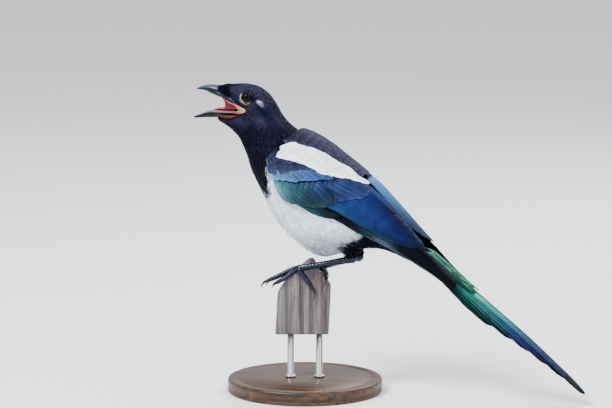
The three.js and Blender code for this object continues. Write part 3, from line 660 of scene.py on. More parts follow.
coat = {
    "shownAt": 0.6,     # share of a feather's length where its marking is judged
    "scatter": 420000,
    "rootShade": 0.45,
    "bareRing": 6.3, "shortRing": 9.5,      # mm from the eye: no feathers, and shorter ones
    "face": {"spacing": 0.95, "length": 5.0, "width": 1.9, "lift": 0.75, "barbs": 5},
    "crown": {"spacing": 1.2, "length": 7.5, "width": 2.6, "lift": 1.0, "barbs": 7},
    "neck": {"spacing": 1.5, "length": 11, "width": 3.6, "lift": 1.4, "barbs": 9},
    "breast": {"spacing": 1.8, "length": 13.0, "width": 5.0, "lift": 1.8, "barbs": 9},
    "belly": {"spacing": 2.05, "length": 17.0, "width": 6.4, "lift": 1.7, "barbs": 10},
    "vent": {"spacing": 2.0, "length": 13.0, "width": 4.0, "lift": 2.2, "barbs": 9},
}
coatNames = ["face", "crown", "neck", "breast", "belly", "vent"]
eyeCentre = np.array([-50.4, -11.3, 169.6])
eyeRadius = 4.9


def besideEye(points, radius):
    # True where a place is within the bare ring of either eye
    away = np.stack([points[:, 0], np.abs(points[:, 1]), points[:, 2]], -1) - [eyeCentre[0], 12.5, eyeCentre[2]]
    far = np.linalg.norm(away, axis=1)
    lean = (away[:, 0] * 0.75 + away[:, 2] * 0.65) / far        # feathers come closer behind and above
    return far < radius - 2.0 * step(-0.55, 0.15, lean)


def insideMouth(points):
    x, _, z = points.T
    roof = 164.5 - 0.42 * (x + 67)
    return (x < -58.5) & (z > 155.2) & (z < roof + 1.5)


def besideJaw(points):
    x, y, z = points.T
    return (x < -63) & (x > -82) & (z > 151.3) & (z < 153.5) & (np.abs(y) > 5)


def underWing(points):
    # True well below the wings' feathers, where no body feather shows
    s, n = alongSlope(points)
    angle = np.arctan2(np.abs(points[:, 1]) / wingHalf(s), (n - wingWide(s)) / (wingTop(s) - wingWide(s)))
    q = np.degrees(angle) / wingReach(s)
    edge = smoothThrough([(-100, 0.85), (-85, 0.92), (-60, 0.96), (-30, 0.97), (0, 0.95), (30, 0.85), (60, 0.75)])
    between = (s > -20) & (q < 0.12)
    return (s > -96) & (s < 60) & (q < edge(s)) & (n > 55) & ~between


def coatZones(points):
    x, _, z = points.T
    s, _ = alongSlope(points)
    black = markings(points) > 0.5
    face = (x < -57) & (z > 140)
    crown = ~face & (x < -36) & (z > 148)
    neck = ~face & ~crown & ((z > 124) | (x < -50))
    vent = black & (s > 0)
    body = ~face & ~crown
    return {"face": face, "crown": crown, "neck": neck & black, "breast": body & black & ~neck & ~vent,
            "belly": body & ~black, "vent": body & vent & ~neck}


def growCoat():
    places, normals, flow = scattered(coat["scatter"])
    s, _ = alongSlope(places)
    free = ~besideEye(places, coat["bareRing"]) & ~insideMouth(places) & ~besideJaw(places) & (s < 100)
    free = free & ~underWing(places)
    for zone in coatNames:
        sizes = coat[zone]
        barbs = sizes["barbs"]
        shapes = tuftShapes(barbs, 1.0 if zone != "belly" else 1.15)
        shown = places + flow * sizes["length"] * coat["shownAt"]
        mine = np.nonzero(free & coatZones(shown)[zone])[0]
        mine = mine[oneToACell(places[mine], sizes["spacing"])]
        count = len(mine)
        vary = draw.uniform(0.8, 1.2, (3, count))
        nearEye = besideEye(places[mine], coat["shortRing"])
        length = sizes["length"] * vary[0] * np.where(nearEye, 0.8, 1.0)
        finish = (whiteCoat, "white_plumage") if zone == "belly" else (blackCoat, "black_plumage")
        piece = coatPiece(zone + "Feathers", places[mine], normals[mine], length, sizes["width"] * vary[1],
                          sizes["lift"] * vary[2] * np.where(nearEye, 0.5, 1.0), shapes, *finish)
        print("coat,", zone + ":", count, "feathers,", len(piece.data.polygons), "faces")


growCoat()


# What repeats is set on points by one tree: shape, size, spread and finish are its inputs

def placingTree():
    tree = bpy.data.node_groups.new("setOnPoints", "GeometryNodeTree")
    sockets = {}
    tree.interface.new_socket(name="Points", in_out="INPUT", socket_type="NodeSocketGeometry")
    for name, kind in [("Shape", "NodeSocketObject"), ("Size", "NodeSocketFloat"), ("Spread", "NodeSocketFloat"),
                       ("Seed", "NodeSocketInt"), ("Finish", "NodeSocketMaterial")]:
        sockets[name] = tree.interface.new_socket(name=name, in_out="INPUT", socket_type=kind).identifier
    tree.interface.new_socket(name="Pieces", in_out="OUTPUT", socket_type="NodeSocketGeometry")
    given = tree.nodes.new("NodeGroupInput").outputs
    turn = addNode(tree, "GeometryNodeInputNamedAttribute", {"Name": "turn"}, data_type="FLOAT_VECTOR")
    grow = addNode(tree, "GeometryNodeInputNamedAttribute", {"Name": "grow"}, data_type="FLOAT_VECTOR")
    least = addNode(tree, "ShaderNodeMath", {0: given["Size"], 1: given["Spread"]}, operation="SUBTRACT")
    most = addNode(tree, "ShaderNodeMath", {0: given["Size"], 1: given["Spread"]}, operation="ADD")
    chance = addNode(tree, "FunctionNodeRandomValue", {2: least.outputs[0], 3: most.outputs[0], "Seed": given["Seed"]},
                     data_type="FLOAT")
    size = addNode(tree, "ShaderNodeVectorMath", {0: grow.outputs["Attribute"], "Scale": chance.outputs[1]},
                   operation="SCALE")
    shape = addNode(tree, "GeometryNodeObjectInfo", {"Object": given["Shape"]})
    turned = addNode(tree, "FunctionNodeEulerToRotation", {"Euler": turn.outputs["Attribute"]})
    placed = addNode(tree, "GeometryNodeInstanceOnPoints", {
        "Points": given["Points"], "Instance": shape.outputs["Geometry"], "Rotation": turned.outputs["Rotation"],
        "Scale": size.outputs["Vector"]})
    real = addNode(tree, "GeometryNodeRealizeInstances", {"Geometry": placed.outputs["Instances"]})
    done = addNode(tree, "GeometryNodeSetMaterial", {"Geometry": real.outputs["Geometry"],
                                                     "Material": given["Finish"]})
    out = tree.nodes.new("NodeGroupOutput")
    tree.links.new(done.outputs["Geometry"], out.inputs["Pieces"])
    return tree, sockets


placing, placingSockets = placingTree()


def setOnPoints(name, shape, places, directions, sizes, material, spread=0.1, seed=3, lead=(0, 1, 0)):
    # shape is (points, faces) with its length along z; sizes are in millimetres on x, y and z
    small = bpy.data.meshes.new(name + "Shape")
    small.from_pydata((np.asarray(shape[0]) / 1000).tolist(), [], [list(f) for f in shape[1]])
    small.polygons.foreach_set("use_smooth", np.full(len(small.polygons), True))
    model = bpy.data.objects.new(name + "Shape", small)
    mesh = bpy.data.meshes.new(name)
    mesh.from_pydata(toMetres(places).tolist(), [], [])
    ahead = unit(np.asarray(directions, float))
    turns = []
    for d in ahead:
        side = Vector(np.cross(lead, d)).normalized()
        over = Vector(d).cross(side)
        turns.append(list(Matrix((side, over, Vector(d))).transposed().to_euler()))
    mesh.attributes.new("turn", "FLOAT_VECTOR", "POINT").data.foreach_set("vector", np.array(turns).ravel())
    mesh.attributes.new("grow", "FLOAT_VECTOR", "POINT").data.foreach_set(
        "vector", np.asarray(sizes, float).ravel())
    carrier = bpy.data.objects.new(name, mesh)
    bpy.context.scene.collection.objects.link(carrier)
    modifier = carrier.modifiers.new("setOnPoints", "NODES")
    modifier.node_group = placing
    for key, value in {"Shape": model, "Size": 1.0, "Spread": spread, "Seed": seed, "Finish": material}.items():
        modifier[placingSockets[key]] = value
    made = bpy.data.meshes.new_from_object(carrier.evaluated_get(bpy.context.evaluated_depsgraph_get()))
    carrier.modifiers.clear()
    carrier.data = made
    made.name = name
    bpy.data.meshes.remove(mesh)
    bpy.data.objects.remove(model)
    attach(carrier, "root")
    print(name + ":", len(places), "set,", len(made.polygons), "faces")
    return carrier


# Bill: horn, smooth and worn, with a bluish bloom and a painted highlight on top and lines along it a third of a
# millimetre wide

def hornMaterial(name, roughness, film):
    material, tree, shader = newMaterial(name, Roughness=roughness, IOR=1.54, Specular_IOR_Level=0.25,
                                         Coat_Weight=film, Coat_Roughness=0.12)
    lines = grained(tree, (260, 1900, 1900), 3.0)
    joined(tree, shader, Base_Color=scaled(tree, painted(tree), levelled(tree, lines, 0.78, 1.2, 0.3, 0.7)),
           Roughness=levelled(tree, lines, roughness - 0.08, roughness + 0.12),
           Normal=raised(tree, lines, 0.25, 0.0002))
    return material


def fleshMaterial(name, roughness, wet, fold):
    # wet skin: light goes a little way in, small folds half a millimetre apart, a film of saliva
    material, tree, shader = newMaterial(name, Roughness=roughness, IOR=1.4, Coat_Weight=wet, Coat_Roughness=0.08,
                                         Subsurface_Weight=0.15, Subsurface_Scale=0.002,
                                         Subsurface_Radius=(1.0, 0.35, 0.2))
    folds = grained(tree, 900.0, 3.0, Distortion=0.6)
    joined(tree, shader, Base_Color=scaled(tree, painted(tree), levelled(tree, folds, 1 - fold, 1 + fold, 0.3, 0.7)),
           Normal=raised(tree, folds, 0.5, 0.0003))
    return material


hornLook = hornMaterial("smoothBlueBlackHorn", 0.34, 0.1)
clawLook = hornMaterial("darkBrownClawHorn", 0.32, 0.3)
mouthLook = fleshMaterial("wetCrimsonMouthSkin", 0.35, 0.25, 0.22)
gapeLook = fleshMaterial("softCreamGapeSkin", 0.5, 0.1, 0.12)

head = {
    "upper": [(-66, 171, -66, 167.2, 4.6), (-73, 175.6, -73, 168, 5.8), (-80.5, 178.7, -80, 169.4, 5.5),
              (-87, 179.5, -86.5, 171.6, 4.4), (-93, 178.7, -92.4, 173.7, 3.2), (-98, 177.2, -97.6, 174.7, 1.8),
              (-101.4, 175.5, -101.2, 174.8, 0.5)],
    "palate": [(-90, 176, -90, 172.6, 3.2), (-86, 175.6, -86, 170.9, 4.3), (-80, 175, -80, 168.6, 6.0),
               (-74, 173.6, -74, 166.6, 7.6), (-67, 170.4, -67.4, 163.8, 9.4), (-61.5, 166.5, -62.6, 160.6, 10.6)],
    "lower": [(-66, 156, -66, 151.4, 6.4), (-77, 156.3, -77, 150.4, 6.3), (-84, 156.3, -84, 149.6, 5.1),
              (-90.4, 155.8, -90.4, 149.5, 4), (-96.5, 153.4, -96.6, 149.2, 2.7), (-101, 151.4, -101.2, 148.9, 1.5),
              (-104.8, 149.7, -104.8, 149, 0.5)],
    "jawEdge": [(-88, 156.4, -88, 150.9, 4.3), (-83, 156.7, -83, 151.2, 5.6), (-78, 156.8, -78, 151.6, 6.9),
                (-70, 157, -70, 152.2, 8.9), (-62.5, 157.2, -62.5, 153, 10.6)],
    "tongue": [(-85.4, 157.4, -85.4, 156.9, 0.4), (-82, 158.4, -82, 156.8, 2), (-75, 159.3, -75, 156.9, 3.2),
               (-67, 159.4, -67, 157.1, 3.4)],
    "mouthEdge": [(155.6, -76.4), (158.6, -73.6), (162.3, -72.6), (166.3, -74), (170.4, -78)],
    "gape": [(-64, -10.8, 164.6), (-58.5, -12.4, 161.4), (-52, -14, 158), (-57, -12.9, 155.4), (-65, -10.9, 155.2)],
    "bristles": 700, "bristleLength": 6.4, "bristleWidth": 0.26,
}


def tintOf(colours, weights):
    return blendColours(colours, [np.maximum(w, 0) + 1e-6 for w in weights])


def fusedHorn(*parts):
    points, quads = remeshed([cappedRings(ovalRings(head[part], 4, 20)) for part in parts], 0.36, 4)
    return points, quads, vertexNormals(points, [quads])


def makeBill():
    points, quads, normal = fusedHorn("upper", "palate")
    x, y, _ = points.T
    ridge = step(3.2, 0.4, np.abs(y)) * step(0.2, 0.9, normal[:, 2])
    points[:, 2] += 0.25 * ridge
    roof = (normal[:, 2] < -0.35) & (np.abs(y) < np.interp(x, [-90, -82, -74, -67], [1.2, 3.4, 5.4, 7.2]))
    # the top: a bluish bloom with a painted highlight, lighter and bluer where the horn faces up, most towards the tip
    up = step(-0.1, 0.75, normal[:, 2])
    base = step(-86, -70, x) * step(0.4, -0.3, normal[:, 2])
    tint = tintOf(["0c0e14", "404c6a", "2a3450"], [1 - up, up * step(-66, -90, x) + 0.25 * up, base * 0.9])
    tint[roof] = np.array(hexColour("7c2630")) * 0.9 + np.array(hexColour("14161d")) * 0.1
    tint[roof & (x < -88)] = hexColour("2a1a20")
    upper = meshPiece("upperBill", points, [quads], hornLook, values={"tint": tint})
    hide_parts("bill_upper")

    points, quads, normal = fusedHorn("lower", "jawEdge")
    x, y, z = points.T
    inner = (normal[:, 2] > 0.55) & (np.abs(y) < np.interp(x, [-100, -84, -62], [0.1, 2.4, 7.6]))
    # the pale tomium along the top edge with a painted highlight where the horn faces up; faces turned down are a
    # little bluer
    rim = step(0.3, 0.75, normal[:, 2]) * step(153.4, 156, z + 0.25 * step(-88, -100, x) * 12)
    tint = tintOf(["08080c", "7a7880", "141722"], [1 - rim, rim * 0.8, 0.25 * step(0.2, -0.8, normal[:, 2])])
    tint[inner] = hexColour("a3283a")
    lower = meshPiece("lowerBill", points, [quads], hornLook, values={"tint": tint})
    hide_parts("bill_lower")


def makeMouth():
    edge = smoothThrough(head["mouthEdge"])
    angle = np.arange(36) / 36 * 2 * np.pi
    sideways = np.sign(np.sin(angle)) * np.abs(np.sin(angle)) ** 0.8
    rise = np.sign(np.cos(angle)) * np.abs(np.cos(angle)) ** 0.8
    rings = []
    walls = [(u, 0.0) for u in np.linspace(1, 0, 9)] + [(u, 1.1) for u in np.linspace(0, 0.85, 8)]
    for u, thick in walls:
        top, low = 170 - 7 * u - thick, 155.8 + thick
        half = 7.2 + 2.2 * u - thick
        z = (top + low) / 2 + (top - low) / 2 * rise
        x = edge(z) * (1 - u) - 60.2 * u + (0.15 if thick and u == 0 else 0)
        ripple = 0.16 * np.sin(3 * angle + 14 * u) * (thick > 0)
        rings.append(np.stack([x, (half + ripple) * sideways, z], -1))
    points, quads, tris = cappedRings(np.array(rings))
    x, _, z = points.T
    # painted shade: the lining darker deeper into the mouth; it is paler red towards the opening
    deep = step(-75, -62, x)
    tint = tintOf(["74101f", "2c050a", "842c18", "8c2c3a"],
                  [1 - 0.75 * deep, deep * 0.4, step(166, 169.5, z) * 1.2, step(-71.5, -74, x) * 0.5])
    lining = meshPiece("mouthLining", points, [quads, tris], mouthLook, values={"tint": tint})
    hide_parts("mouth_lining")

    points, quads, tris = cappedRings(ovalRings(head["tongue"], 6, 24))
    groove = np.exp(-(points[:, 1] / 0.7) ** 2) * step(-84, -80, points[:, 0]) * (points[:, 2] > 157.6)
    points[:, 2] -= 0.5 * groove
    # painted shade in the groove and towards the back of the tongue
    tint = tintOf(["a04050", "741c2a"], [np.ones(len(points)), groove + 0.3 * step(-74, -67, points[:, 0])])
    tongue = meshPiece("tongue", points, [quads, tris], mouthLook, values={"tint": tint})
    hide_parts("tongue")


def softTube(path, width, sides, side):
    rings = tubeRings(path, width, sides, lead=(0, 1, 0))
    return cappedRings(rings * [1, -side, 1])


def makeGape(side, name):
    # the swollen corner of the mouth: four folds nested in each other
    parts, tints = [], []
    for k, (shrink, radius) in enumerate([(0.0, 0.85), (0.2, 0.72), (0.4, 0.62), (0.6, 0.5)]):
        path = np.array(head["gape"], float)
        corner = np.array([-61.5, -11.6, 158.8])
        close = np.array([0.35, 0.8, 1, 0.8, 0.35])[:, None] * shrink      # the folds meet at their ends
        path = path + (corner - path) * close + [0, -0.28 * k + 0.6, 0]
        path = pathPoints(path, 40)
        u = np.linspace(0, 1, 40)
        width = radius * (0.1 + 0.95 * np.sin(np.pi * np.clip(u, 0.01, 0.99)) ** 0.9)
        width = width * (1 + 0.16 * np.sin(u * 47 + k * 2) + 0.08 * np.sin(u * 23 + k))
        part = softTube(path, width, 14, side)
        parts.append(part)
        front = np.concatenate([np.repeat(np.abs(u - 0.5) * 2, 14), [1, 1]])
        # fold makes one side of each fold darker: painted shade between the folds; crease adds dark flecks at random
        fold = np.concatenate([np.tile(np.cos(np.arange(14) / 14 * 2 * np.pi), 40), [0, 0]])
        crease = 0.5 + roughened(part[0], 0.8, 0.9, (1.6, 1, 0.6), k)
        tints.append(tintOf(["c8b08a", "9c4024", "5c3a26"],
                            [1.1 - front, front**1.4 * 1.5, 0.3 + 1.3 * crease * crease + 0.25 * fold]))
    points, quads, tris = joinParts(parts)
    gape = meshPiece("gape" + name, points, [quads, tris], gapeLook,
                     values={"tint": np.concatenate(tints)})
    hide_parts("gape_" + name.lower())

    # a bare strip of orange skin beside the lower jaw
    folds = []
    for k in range(4):
        path = pathPoints([(-81 + 0.7 * k, -6.9, 153 - 0.3 * k), (-73, -9.3, 152.6 - 0.6 * k),
                           (-66, -11.1, 152.6 - 0.55 * k), (-61.5 - 0.5 * k, -11.8, 152.8 - 0.3 * k)], 40)
        u = np.linspace(0, 1, 40)
        width = 0.5 * np.sin(np.pi * (0.02 + 0.96 * u)) ** 0.7 * (1 + 0.22 * np.sin(u * 38 + 2.4 * k))
        folds.append(softTube(path, width, 12, side))
    points, quads, tris = joinParts(folds)
    x, _, z = points.T
    fleck = 0.5 + roughened(points, 0.9, 0.8)
    # painted shade darker along the lower edge and a painted highlight paler towards the back, both broken up by
    # flecks
    tint = tintOf(["5c160a", "240705", "6c2410"],
                  [np.ones(len(points)), 1.6 * fleck * step(152.6, 150.2, z), 0.7 * step(-74, -66, x) * fleck])
    meshPiece("jawSkin" + name, points, [quads, tris], gapeLook, values={"tint": tint})


# Eyes: a dark iris under a clear wet dome, a black lid edge and rings of bare wrinkled skin

eyes = {
    "iris": "16100e", "rim": "141820", "pupil": "040406", "skin": "d9c894", "skinShade": "6a5734", "dark": "121118",
    # rings of skin: radius, lift above the ball's middle, thickness, what it is
    "rings": [(4.1, 3.75, 0.36, "edge"), (4.85, 3.6, 0.42, "skin"), (5.6, 3.2, 0.46, "skin"),
              (6.35, 2.75, 0.44, "skin")],
    "ringSteps": 72, "ringSides": 10,
}
glassLook, tree, shader = newMaterial("wetDarkEye", Roughness=0.1, IOR=1.38, Specular_IOR_Level=0.12,
                                     Coat_Weight=0.12, Coat_Roughness=0.02)
rays = levelled(tree, grained(tree, 1500.0, 4.0), 0.6, 1.4)
joined(tree, shader, Base_Color=scaled(tree, painted(tree), rays))


def makeEye(side, name):
    centre = eyeCentre * [1, -side, 1]
    out = unit(np.array([[-0.1, side, 0.06]]))[0]
    ahead = unit((np.array([[-1, 0, -0.15]]) - out * np.dot([-1, 0, -0.15], out)))[0]
    up = np.cross(out, ahead) * side
    up = up if up[2] > 0 else -up
    polar = np.linspace(0.001, math.pi - 0.001, 30)
    angle = np.arange(40) / 40 * 2 * np.pi
    spokes = np.cos(angle)[:, None] * ahead + np.sin(angle)[:, None] * up
    dome = eyeRadius * (1 + 0.05 * np.exp(-(polar / 0.6) ** 2))
    rings = centre + dome[:, None, None] * (np.cos(polar)[:, None, None] * out + np.sin(polar)[:, None, None] * spokes)
    points, quads, tris = cappedRings(rings)
    wide = np.arccos(np.clip((unit(points - centre) * out).sum(-1), -1, 1)) * eyeRadius
    tint = tintOf([eyes["pupil"], eyes["iris"], eyes["rim"]],
                  [step(2.4, 2.1, wide), step(2.1, 2.5, wide), 1.6 * step(3.4, 3.9, wide)])
    ball = meshPiece("eye" + name, points, [quads, tris], glassLook, values={"tint": tint})
    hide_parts("eye_" + name.lower())

    # lid edge and folds: closed rings round the eye, creamy in front and below, dark behind and above
    points, quads, tints, start = [], [], [], 0
    steps, sides = eyes["ringSteps"], eyes["ringSides"]
    turn = np.arange(steps) / steps * 2 * np.pi
    for k, (radius, lift, thick, kind) in enumerate(eyes["rings"]):
        squash = 1 - (0.12 if kind == "edge" else 0.06) * np.abs(np.sin(turn))
        spoke = np.cos(turn)[:, None] * ahead + np.sin(turn)[:, None] * up
        bare = step(-0.35, 0.35, np.cos(turn) * 0.75 - np.sin(turn) * 0.65)     # in front and below
        squash = squash * (1 + (0.035 * np.sin(5 * turn + k) + 0.02 * np.sin(11 * turn + 2 * k)) * (k > 0))
        sink = lift - (1 - bare) * (k > 0)
        middle = centre + out * sink[:, None] + spoke * (radius * squash)[:, None]
        bead = 1 + 0.18 * np.sin(turn * (26 - 3 * k) + k) + 0.1 * np.sin(turn * 9 + 2 * k)
        bead = bead * (0.35 + 0.65 * bare) if kind == "skin" else np.ones(steps)
        around = np.arange(sides) / sides * 2 * np.pi
        flat = np.cos(around)[None, :, None] * spoke[:, None] + np.sin(around)[None, :, None] * out
        tube = middle[:, None] + flat * (thick * bead)[:, None, None]
        r, s = np.meshgrid(np.arange(steps), np.arange(sides), indexing="ij")
        a, b = r * sides + s, r * sides + (s + 1) % sides
        c, d = (r + 1) % steps * sides + (s + 1) % sides, (r + 1) % steps * sides + s
        faces = np.stack([a, b, c, d], -1).reshape(-1, 4)
        flatPoints = tube.reshape(-1, 3)
        if signedVolume(flatPoints - centre, [faces]) < 0:
            faces = faces[:, ::-1]
        points.append(flatPoints)
        quads.append(faces + start)
        start += len(flatPoints)
        front = step(0.1, 0.6, np.cos(turn)) * step(0.95, 0.5, np.sin(turn))
        front = front + step(-0.3, -0.7, np.sin(turn)) * step(-0.75, -0.2, np.cos(turn)) * (k > 1)
        front = np.repeat(np.clip(front, 0, 1), sides) * (kind == "skin") * (1 - 0.12 * k)
        fleck = roughened(flatPoints, 1.1, 1.0, seed=k) + roughened(flatPoints, 0.5, 0.6, seed=k + 4)
        front = front * step(-0.22, 0.12, fleck)
        # painted shade: the side of each fold turned in towards the eye takes the darker skin colour
        low = np.tile(step(0.5, -0.5, np.cos(around)), steps)
        tints.append(tintOf([eyes["dark"], eyes["skin"], eyes["skinShade"]],
                            [1 - front, front * (1 - 0.5 * low), front * (0.25 + 0.5 * low)]))
    meshPiece("lids" + name, np.concatenate(points), [np.concatenate(quads)], gapeLook,
              values={"tint": np.concatenate(tints)})


def bristleShape(bend=0.35, rows=4, sides=4):
    t = np.linspace(0, 1, rows)
    centres = np.stack([np.zeros(rows), bend * t * t, t], -1)
    rings = tubeRings(centres, 0.5 * (1 - 0.85 * t) + 0.02, sides, lead=(1, 0, 0))
    points, quads, tris = cappedRings(rings)
    # across the bristle a unit is its width, along it a unit is its length
    return points, [list(f) for f in quads] + [list(f) for f in tris]


def makeBristles():
    # stiff feathers without webs lie forward over the nostrils
    count = head["bristles"]
    along = draw.random(count)
    around = draw.uniform(-1.45, 1.45, count)
    x = -67 - 9 * along + 1.5 * np.abs(around)
    half = np.interp(x, [-80, -73, -66], [5.8, 7.4, 10])
    tall = np.interp(x, [-80, -73, -66], [178, 178.9, 180.4])
    low = np.interp(x, [-80, -73, -66], [173.6, 171.8, 170])
    y = half * np.sin(around)
    z = low + (tall - low) * np.cos(around)
    ahead = np.stack([-np.ones(count), 0.14 * np.sin(around), 0.02 - 0.2 * (z > 176)], -1)
    ahead = ahead + draw.normal(0, 0.09, ahead.shape)
    length = head["bristleLength"] * draw.uniform(0.75, 1.15, count) * np.interp(along, [0, 1], [1.15, 0.85])
    width = np.full(count, head["bristleWidth"] * 2)
    sizes = np.stack([width, length * 0.14, length], -1)
    setOnPoints("nasalBristles", bristleShape(), np.stack([x, y, z], -1), ahead, sizes, blackCoat,
                spread=0.12, seed=7, lead=(0, 0, 1))


makeBill()
makeMouth()
for side, name in ((-1, "Left"), (1, "Right")):
    makeGape(side, name)
    makeEye(side, name)
makeBristles()
print("head done")


# Flight feathers and coverts: cambered blades with a raised shaft and a thin closed edge

blade = {
    "lanes": (-1, -0.82, -0.5, -0.2, -0.05, 0, 0.05, 0.2, 0.5, 0.82, 1), "thick": 0.22, "camber": 0.35,
    "shaft": 0.22, "rootSink": 0.8, "rootLength": 0.4,
}


def bladeOutline(t, point):
    tip = np.sqrt(np.clip(1 - (np.clip(t - point, 0, 1) / (1 - point)) ** 2, 0, 1))
    return np.minimum(1, 0.5 + 2 * t) * np.maximum(tip, 0.04)


def bladeShape(place, shape, rows):
    # one feather; place(t, across, lift) gives points for arrays, across and lift in millimetres
    lanes = np.array(blade["lanes"])
    t = 1 - (1 - np.linspace(0, 1, rows)) ** 1.35
    width = shape["half"] * bladeOutline(t, shape.get("point", 0.8))
    edge = 1 + draw.normal(0, shape.get("ragged", 0.02), (rows, 2)) * step(0.1, 0.3, t)[:, None]
    across = lanes[None] * width[:, None] * np.where(lanes[None] < 0, edge[:, :1], edge[:, 1:])
    tt = np.broadcast_to(t[:, None], across.shape)
    reach = np.clip(tt + draw.normal(0, 0.004, across.shape) * step(0.75, 0.9, tt), 0, 1)
    rise = np.minimum(1, tt / shape.get("climb", blade["rootLength"]))
    climb = -blade["rootSink"] + (shape["lift"] + blade["rootSink"]) * rise
    height = climb + shape.get("rise", 0) * tt + blade["camber"] * (1 - lanes[None] ** 2)
    height = height + blade["shaft"] * (np.abs(lanes[None]) < 0.01) * (1 - 0.8 * tt)
    top = place(reach, across, height)
    under = place(reach, across, height - blade["thick"] * (1 - 0.5 * tt))
    columns = len(lanes)
    rings = np.concatenate([top, under[:, ::-1]], 1)
    points = rings.reshape(-1, 3)
    quads = ringFaces(rows, 2 * columns)
    k = np.arange(columns - 1)
    first = np.stack([k + 1, k, 2 * columns - 1 - k, 2 * columns - 2 - k], -1)
    low = (rows - 1) * 2 * columns
    quads = np.concatenate([quads, first, low + first[:, ::-1]])
    lane = np.concatenate([np.broadcast_to(lanes, across.shape), np.broadcast_to(lanes[::-1], across.shape)], 1)
    along = np.concatenate([tt, tt[:, ::-1]], 1)
    face = np.concatenate([np.zeros_like(across), np.ones_like(across)], 1)
    if signedVolume(points, [quads]) < 0:
        quads = quads[:, ::-1]
    across = np.concatenate([across, across[:, ::-1]], 1)
    return points, quads, lane.ravel(), along.ravel(), face.ravel(), across.ravel()


def bladePiece(name, feathers, material, rows=18):
    # feathers are (place, shape, colour) with colour(along, lane, points) giving one row for each point
    points, quads, tints, barbs, maps, start = [], [], [], [], [], 0
    columns = math.ceil(math.sqrt(len(feathers) * 2))
    lines = math.ceil(len(feathers) / columns)
    for i, (place, shape, colour) in enumerate(feathers):
        at, faces, lane, along, face, across = bladeShape(place, shape, rows)
        points.append(at)
        quads.append(faces + start)
        start += len(at)
        tint = colour(along, lane, at)
        tint[:, :3] *= draw.normal(1, 0.05)
        tints.append(np.clip(tint, 0, 1))
        length = np.linalg.norm(at[np.argmax(along)] - at[np.argmin(along)])
        barbs.append(along * length - np.abs(across) * 0.9)
        u = (i % columns + 0.04 + 0.44 * (lane * 0.5 + 0.5) + 0.48 * face) / columns
        v = (i // columns + 0.04 + 0.92 * along) / lines
        maps.append(np.stack([u, v], -1))
    piece = meshPiece(name, np.concatenate(points), [np.concatenate(quads)], material,
                      maps={"OFBake": np.concatenate(maps)},
                      values={"tint": np.concatenate(tints), "barb": np.concatenate(barbs)})
    print(name + ":", len(feathers), "feathers,", len(piece.data.polygons), "faces")
    return piece


def bladeMaterial(name, roughness, metal, coat, barbDepth, tintShift, glossTint):
    # barbs hooked into a smooth blade, whose thin layers throw back coloured light as a metal does;
    # barb lines are a third of a millimetre apart, drawn 0.6 mm apart here so that they show
    material, tree, shader = newMaterial(
        name, Roughness=roughness, IOR=1.54, Specular_IOR_Level=0.22, Metallic=metal, Coat_Weight=coat,
        Coat_Roughness=0.35, Specular_Tint=hexColour(glossTint))
    wave = reckoned(tree, "SINE", reckoned(tree, "MULTIPLY", painted(tree, "barb", "Fac"), 2 * math.pi / 0.6))
    patches = levelled(tree, grained(tree, 120.0, 4.0), 1 - tintShift, 1 + tintShift, 0.3, 0.7)
    lines = levelled(tree, wave, 0.95, 1.04, -1.0)
    joined(tree, shader, Base_Color=scaled(tree, painted(tree), reckoned(tree, "MULTIPLY", patches, lines)),
           Normal=raised(tree, wave, barbDepth, 0.0002))
    return material


flightLook = bladeMaterial("iridescentFlightFeather", 0.42, 0.42, 0.04, 0.22, 0.2, "a8b4dc")
tailLook = bladeMaterial("iridescentTailFeather", 0.4, 0.45, 0.04, 0.25, 0.3, "a0ccc0")
scapularLook = bladeMaterial("whiteScapularFeather", 0.75, 0.0, 0.0, 0.15, 0.03, "ffffff")
shoulderLook = bladeMaterial("purpleBlackShoulderFeather", 0.5, 0.2, 0.02, 0.3, 0.2, "8f88c8")


def wingLine(side, root, tip, bend=1.0):
    def place(t, across, lift):
        s = root[0] + (tip[0] - root[0]) * t
        q = root[1] + (tip[1] - root[1]) * t ** bend
        return wingPlace(side, s, q + across / wingSpan(s, q), lift)
    return place


def edged(base, edge, tipTone, width=0.25, tipFrom=0.75, inner=None, rootTone=None, rimEnd=1.0):
    # a blade's colours: its own, a paler outer edge, a tip, and a darker inner web
    base, edge, tipTone = (np.array(hexColour(c)) for c in (base, edge, tipTone))
    inner = base * [0.35, 0.35, 0.4, 1] if inner is None else np.array(hexColour(inner))
    rootTone = base if rootTone is None else np.array(hexColour(rootTone))

    def colour(along, lane, points):
        t = along[:, None]
        tone = rootTone + (base - rootTone) * step(0.15, 0.7, t)
        tone = tone + (inner - tone) * step(0.05, -0.35, lane)[:, None]
        shaftDark = np.exp(-(lane / 0.07) ** 2)[:, None] * 0.5
        tone = tone * (1 - shaftDark * [1, 1, 1, 0])
        rim = step(1 - width, 1 - width * 0.3, lane)[:, None] * step(rimEnd, rimEnd * 0.72, t)
        tone = tone + (edge - tone) * rim * 0.9
        tone = tone + (tipTone - tone) * step(tipFrom, 1.0, t) * 0.85
        return tone.copy()

    return colour


# colours of the wing's coverts by place: s, q, reach along s, reach along q, colour
covertTones = [(-86, 0.97, 9, 0.09, "669ca8"), (-78, 0.85, 9, 0.08, "587a9e"), (-68, 0.73, 9, 0.08, "4c6490"),
               (-56, 0.58, 9, 0.08, "405688"), (-70, 1.0, 9, 0.07, "5c8c94"), (-60, 0.89, 9, 0.08, "34525e"),
               (-46, 0.82, 9, 0.08, "243840"), (-50, 1.03, 14, 0.08, "2c363c"), (-34, 0.76, 10, 0.08, "263642"),
               (-46, 0.66, 9, 0.07, "2e4068"), (-40, 0.52, 12, 0.1, "303f66"), (-26, 0.42, 16, 0.14, "2e3c62"),
               (-94, 0.85, 9, 0.1, "4e5474"), (-48, 0.44, 10, 0.08, "2c3858")]


def covertTone(s, q):
    weights = [np.exp(-((s - ts) / rs) ** 2 - ((q - tq) / rq) ** 2) + 1e-5 for ts, tq, rs, rq, _ in covertTones]
    return blendColours([tone[4] for tone in covertTones], weights)


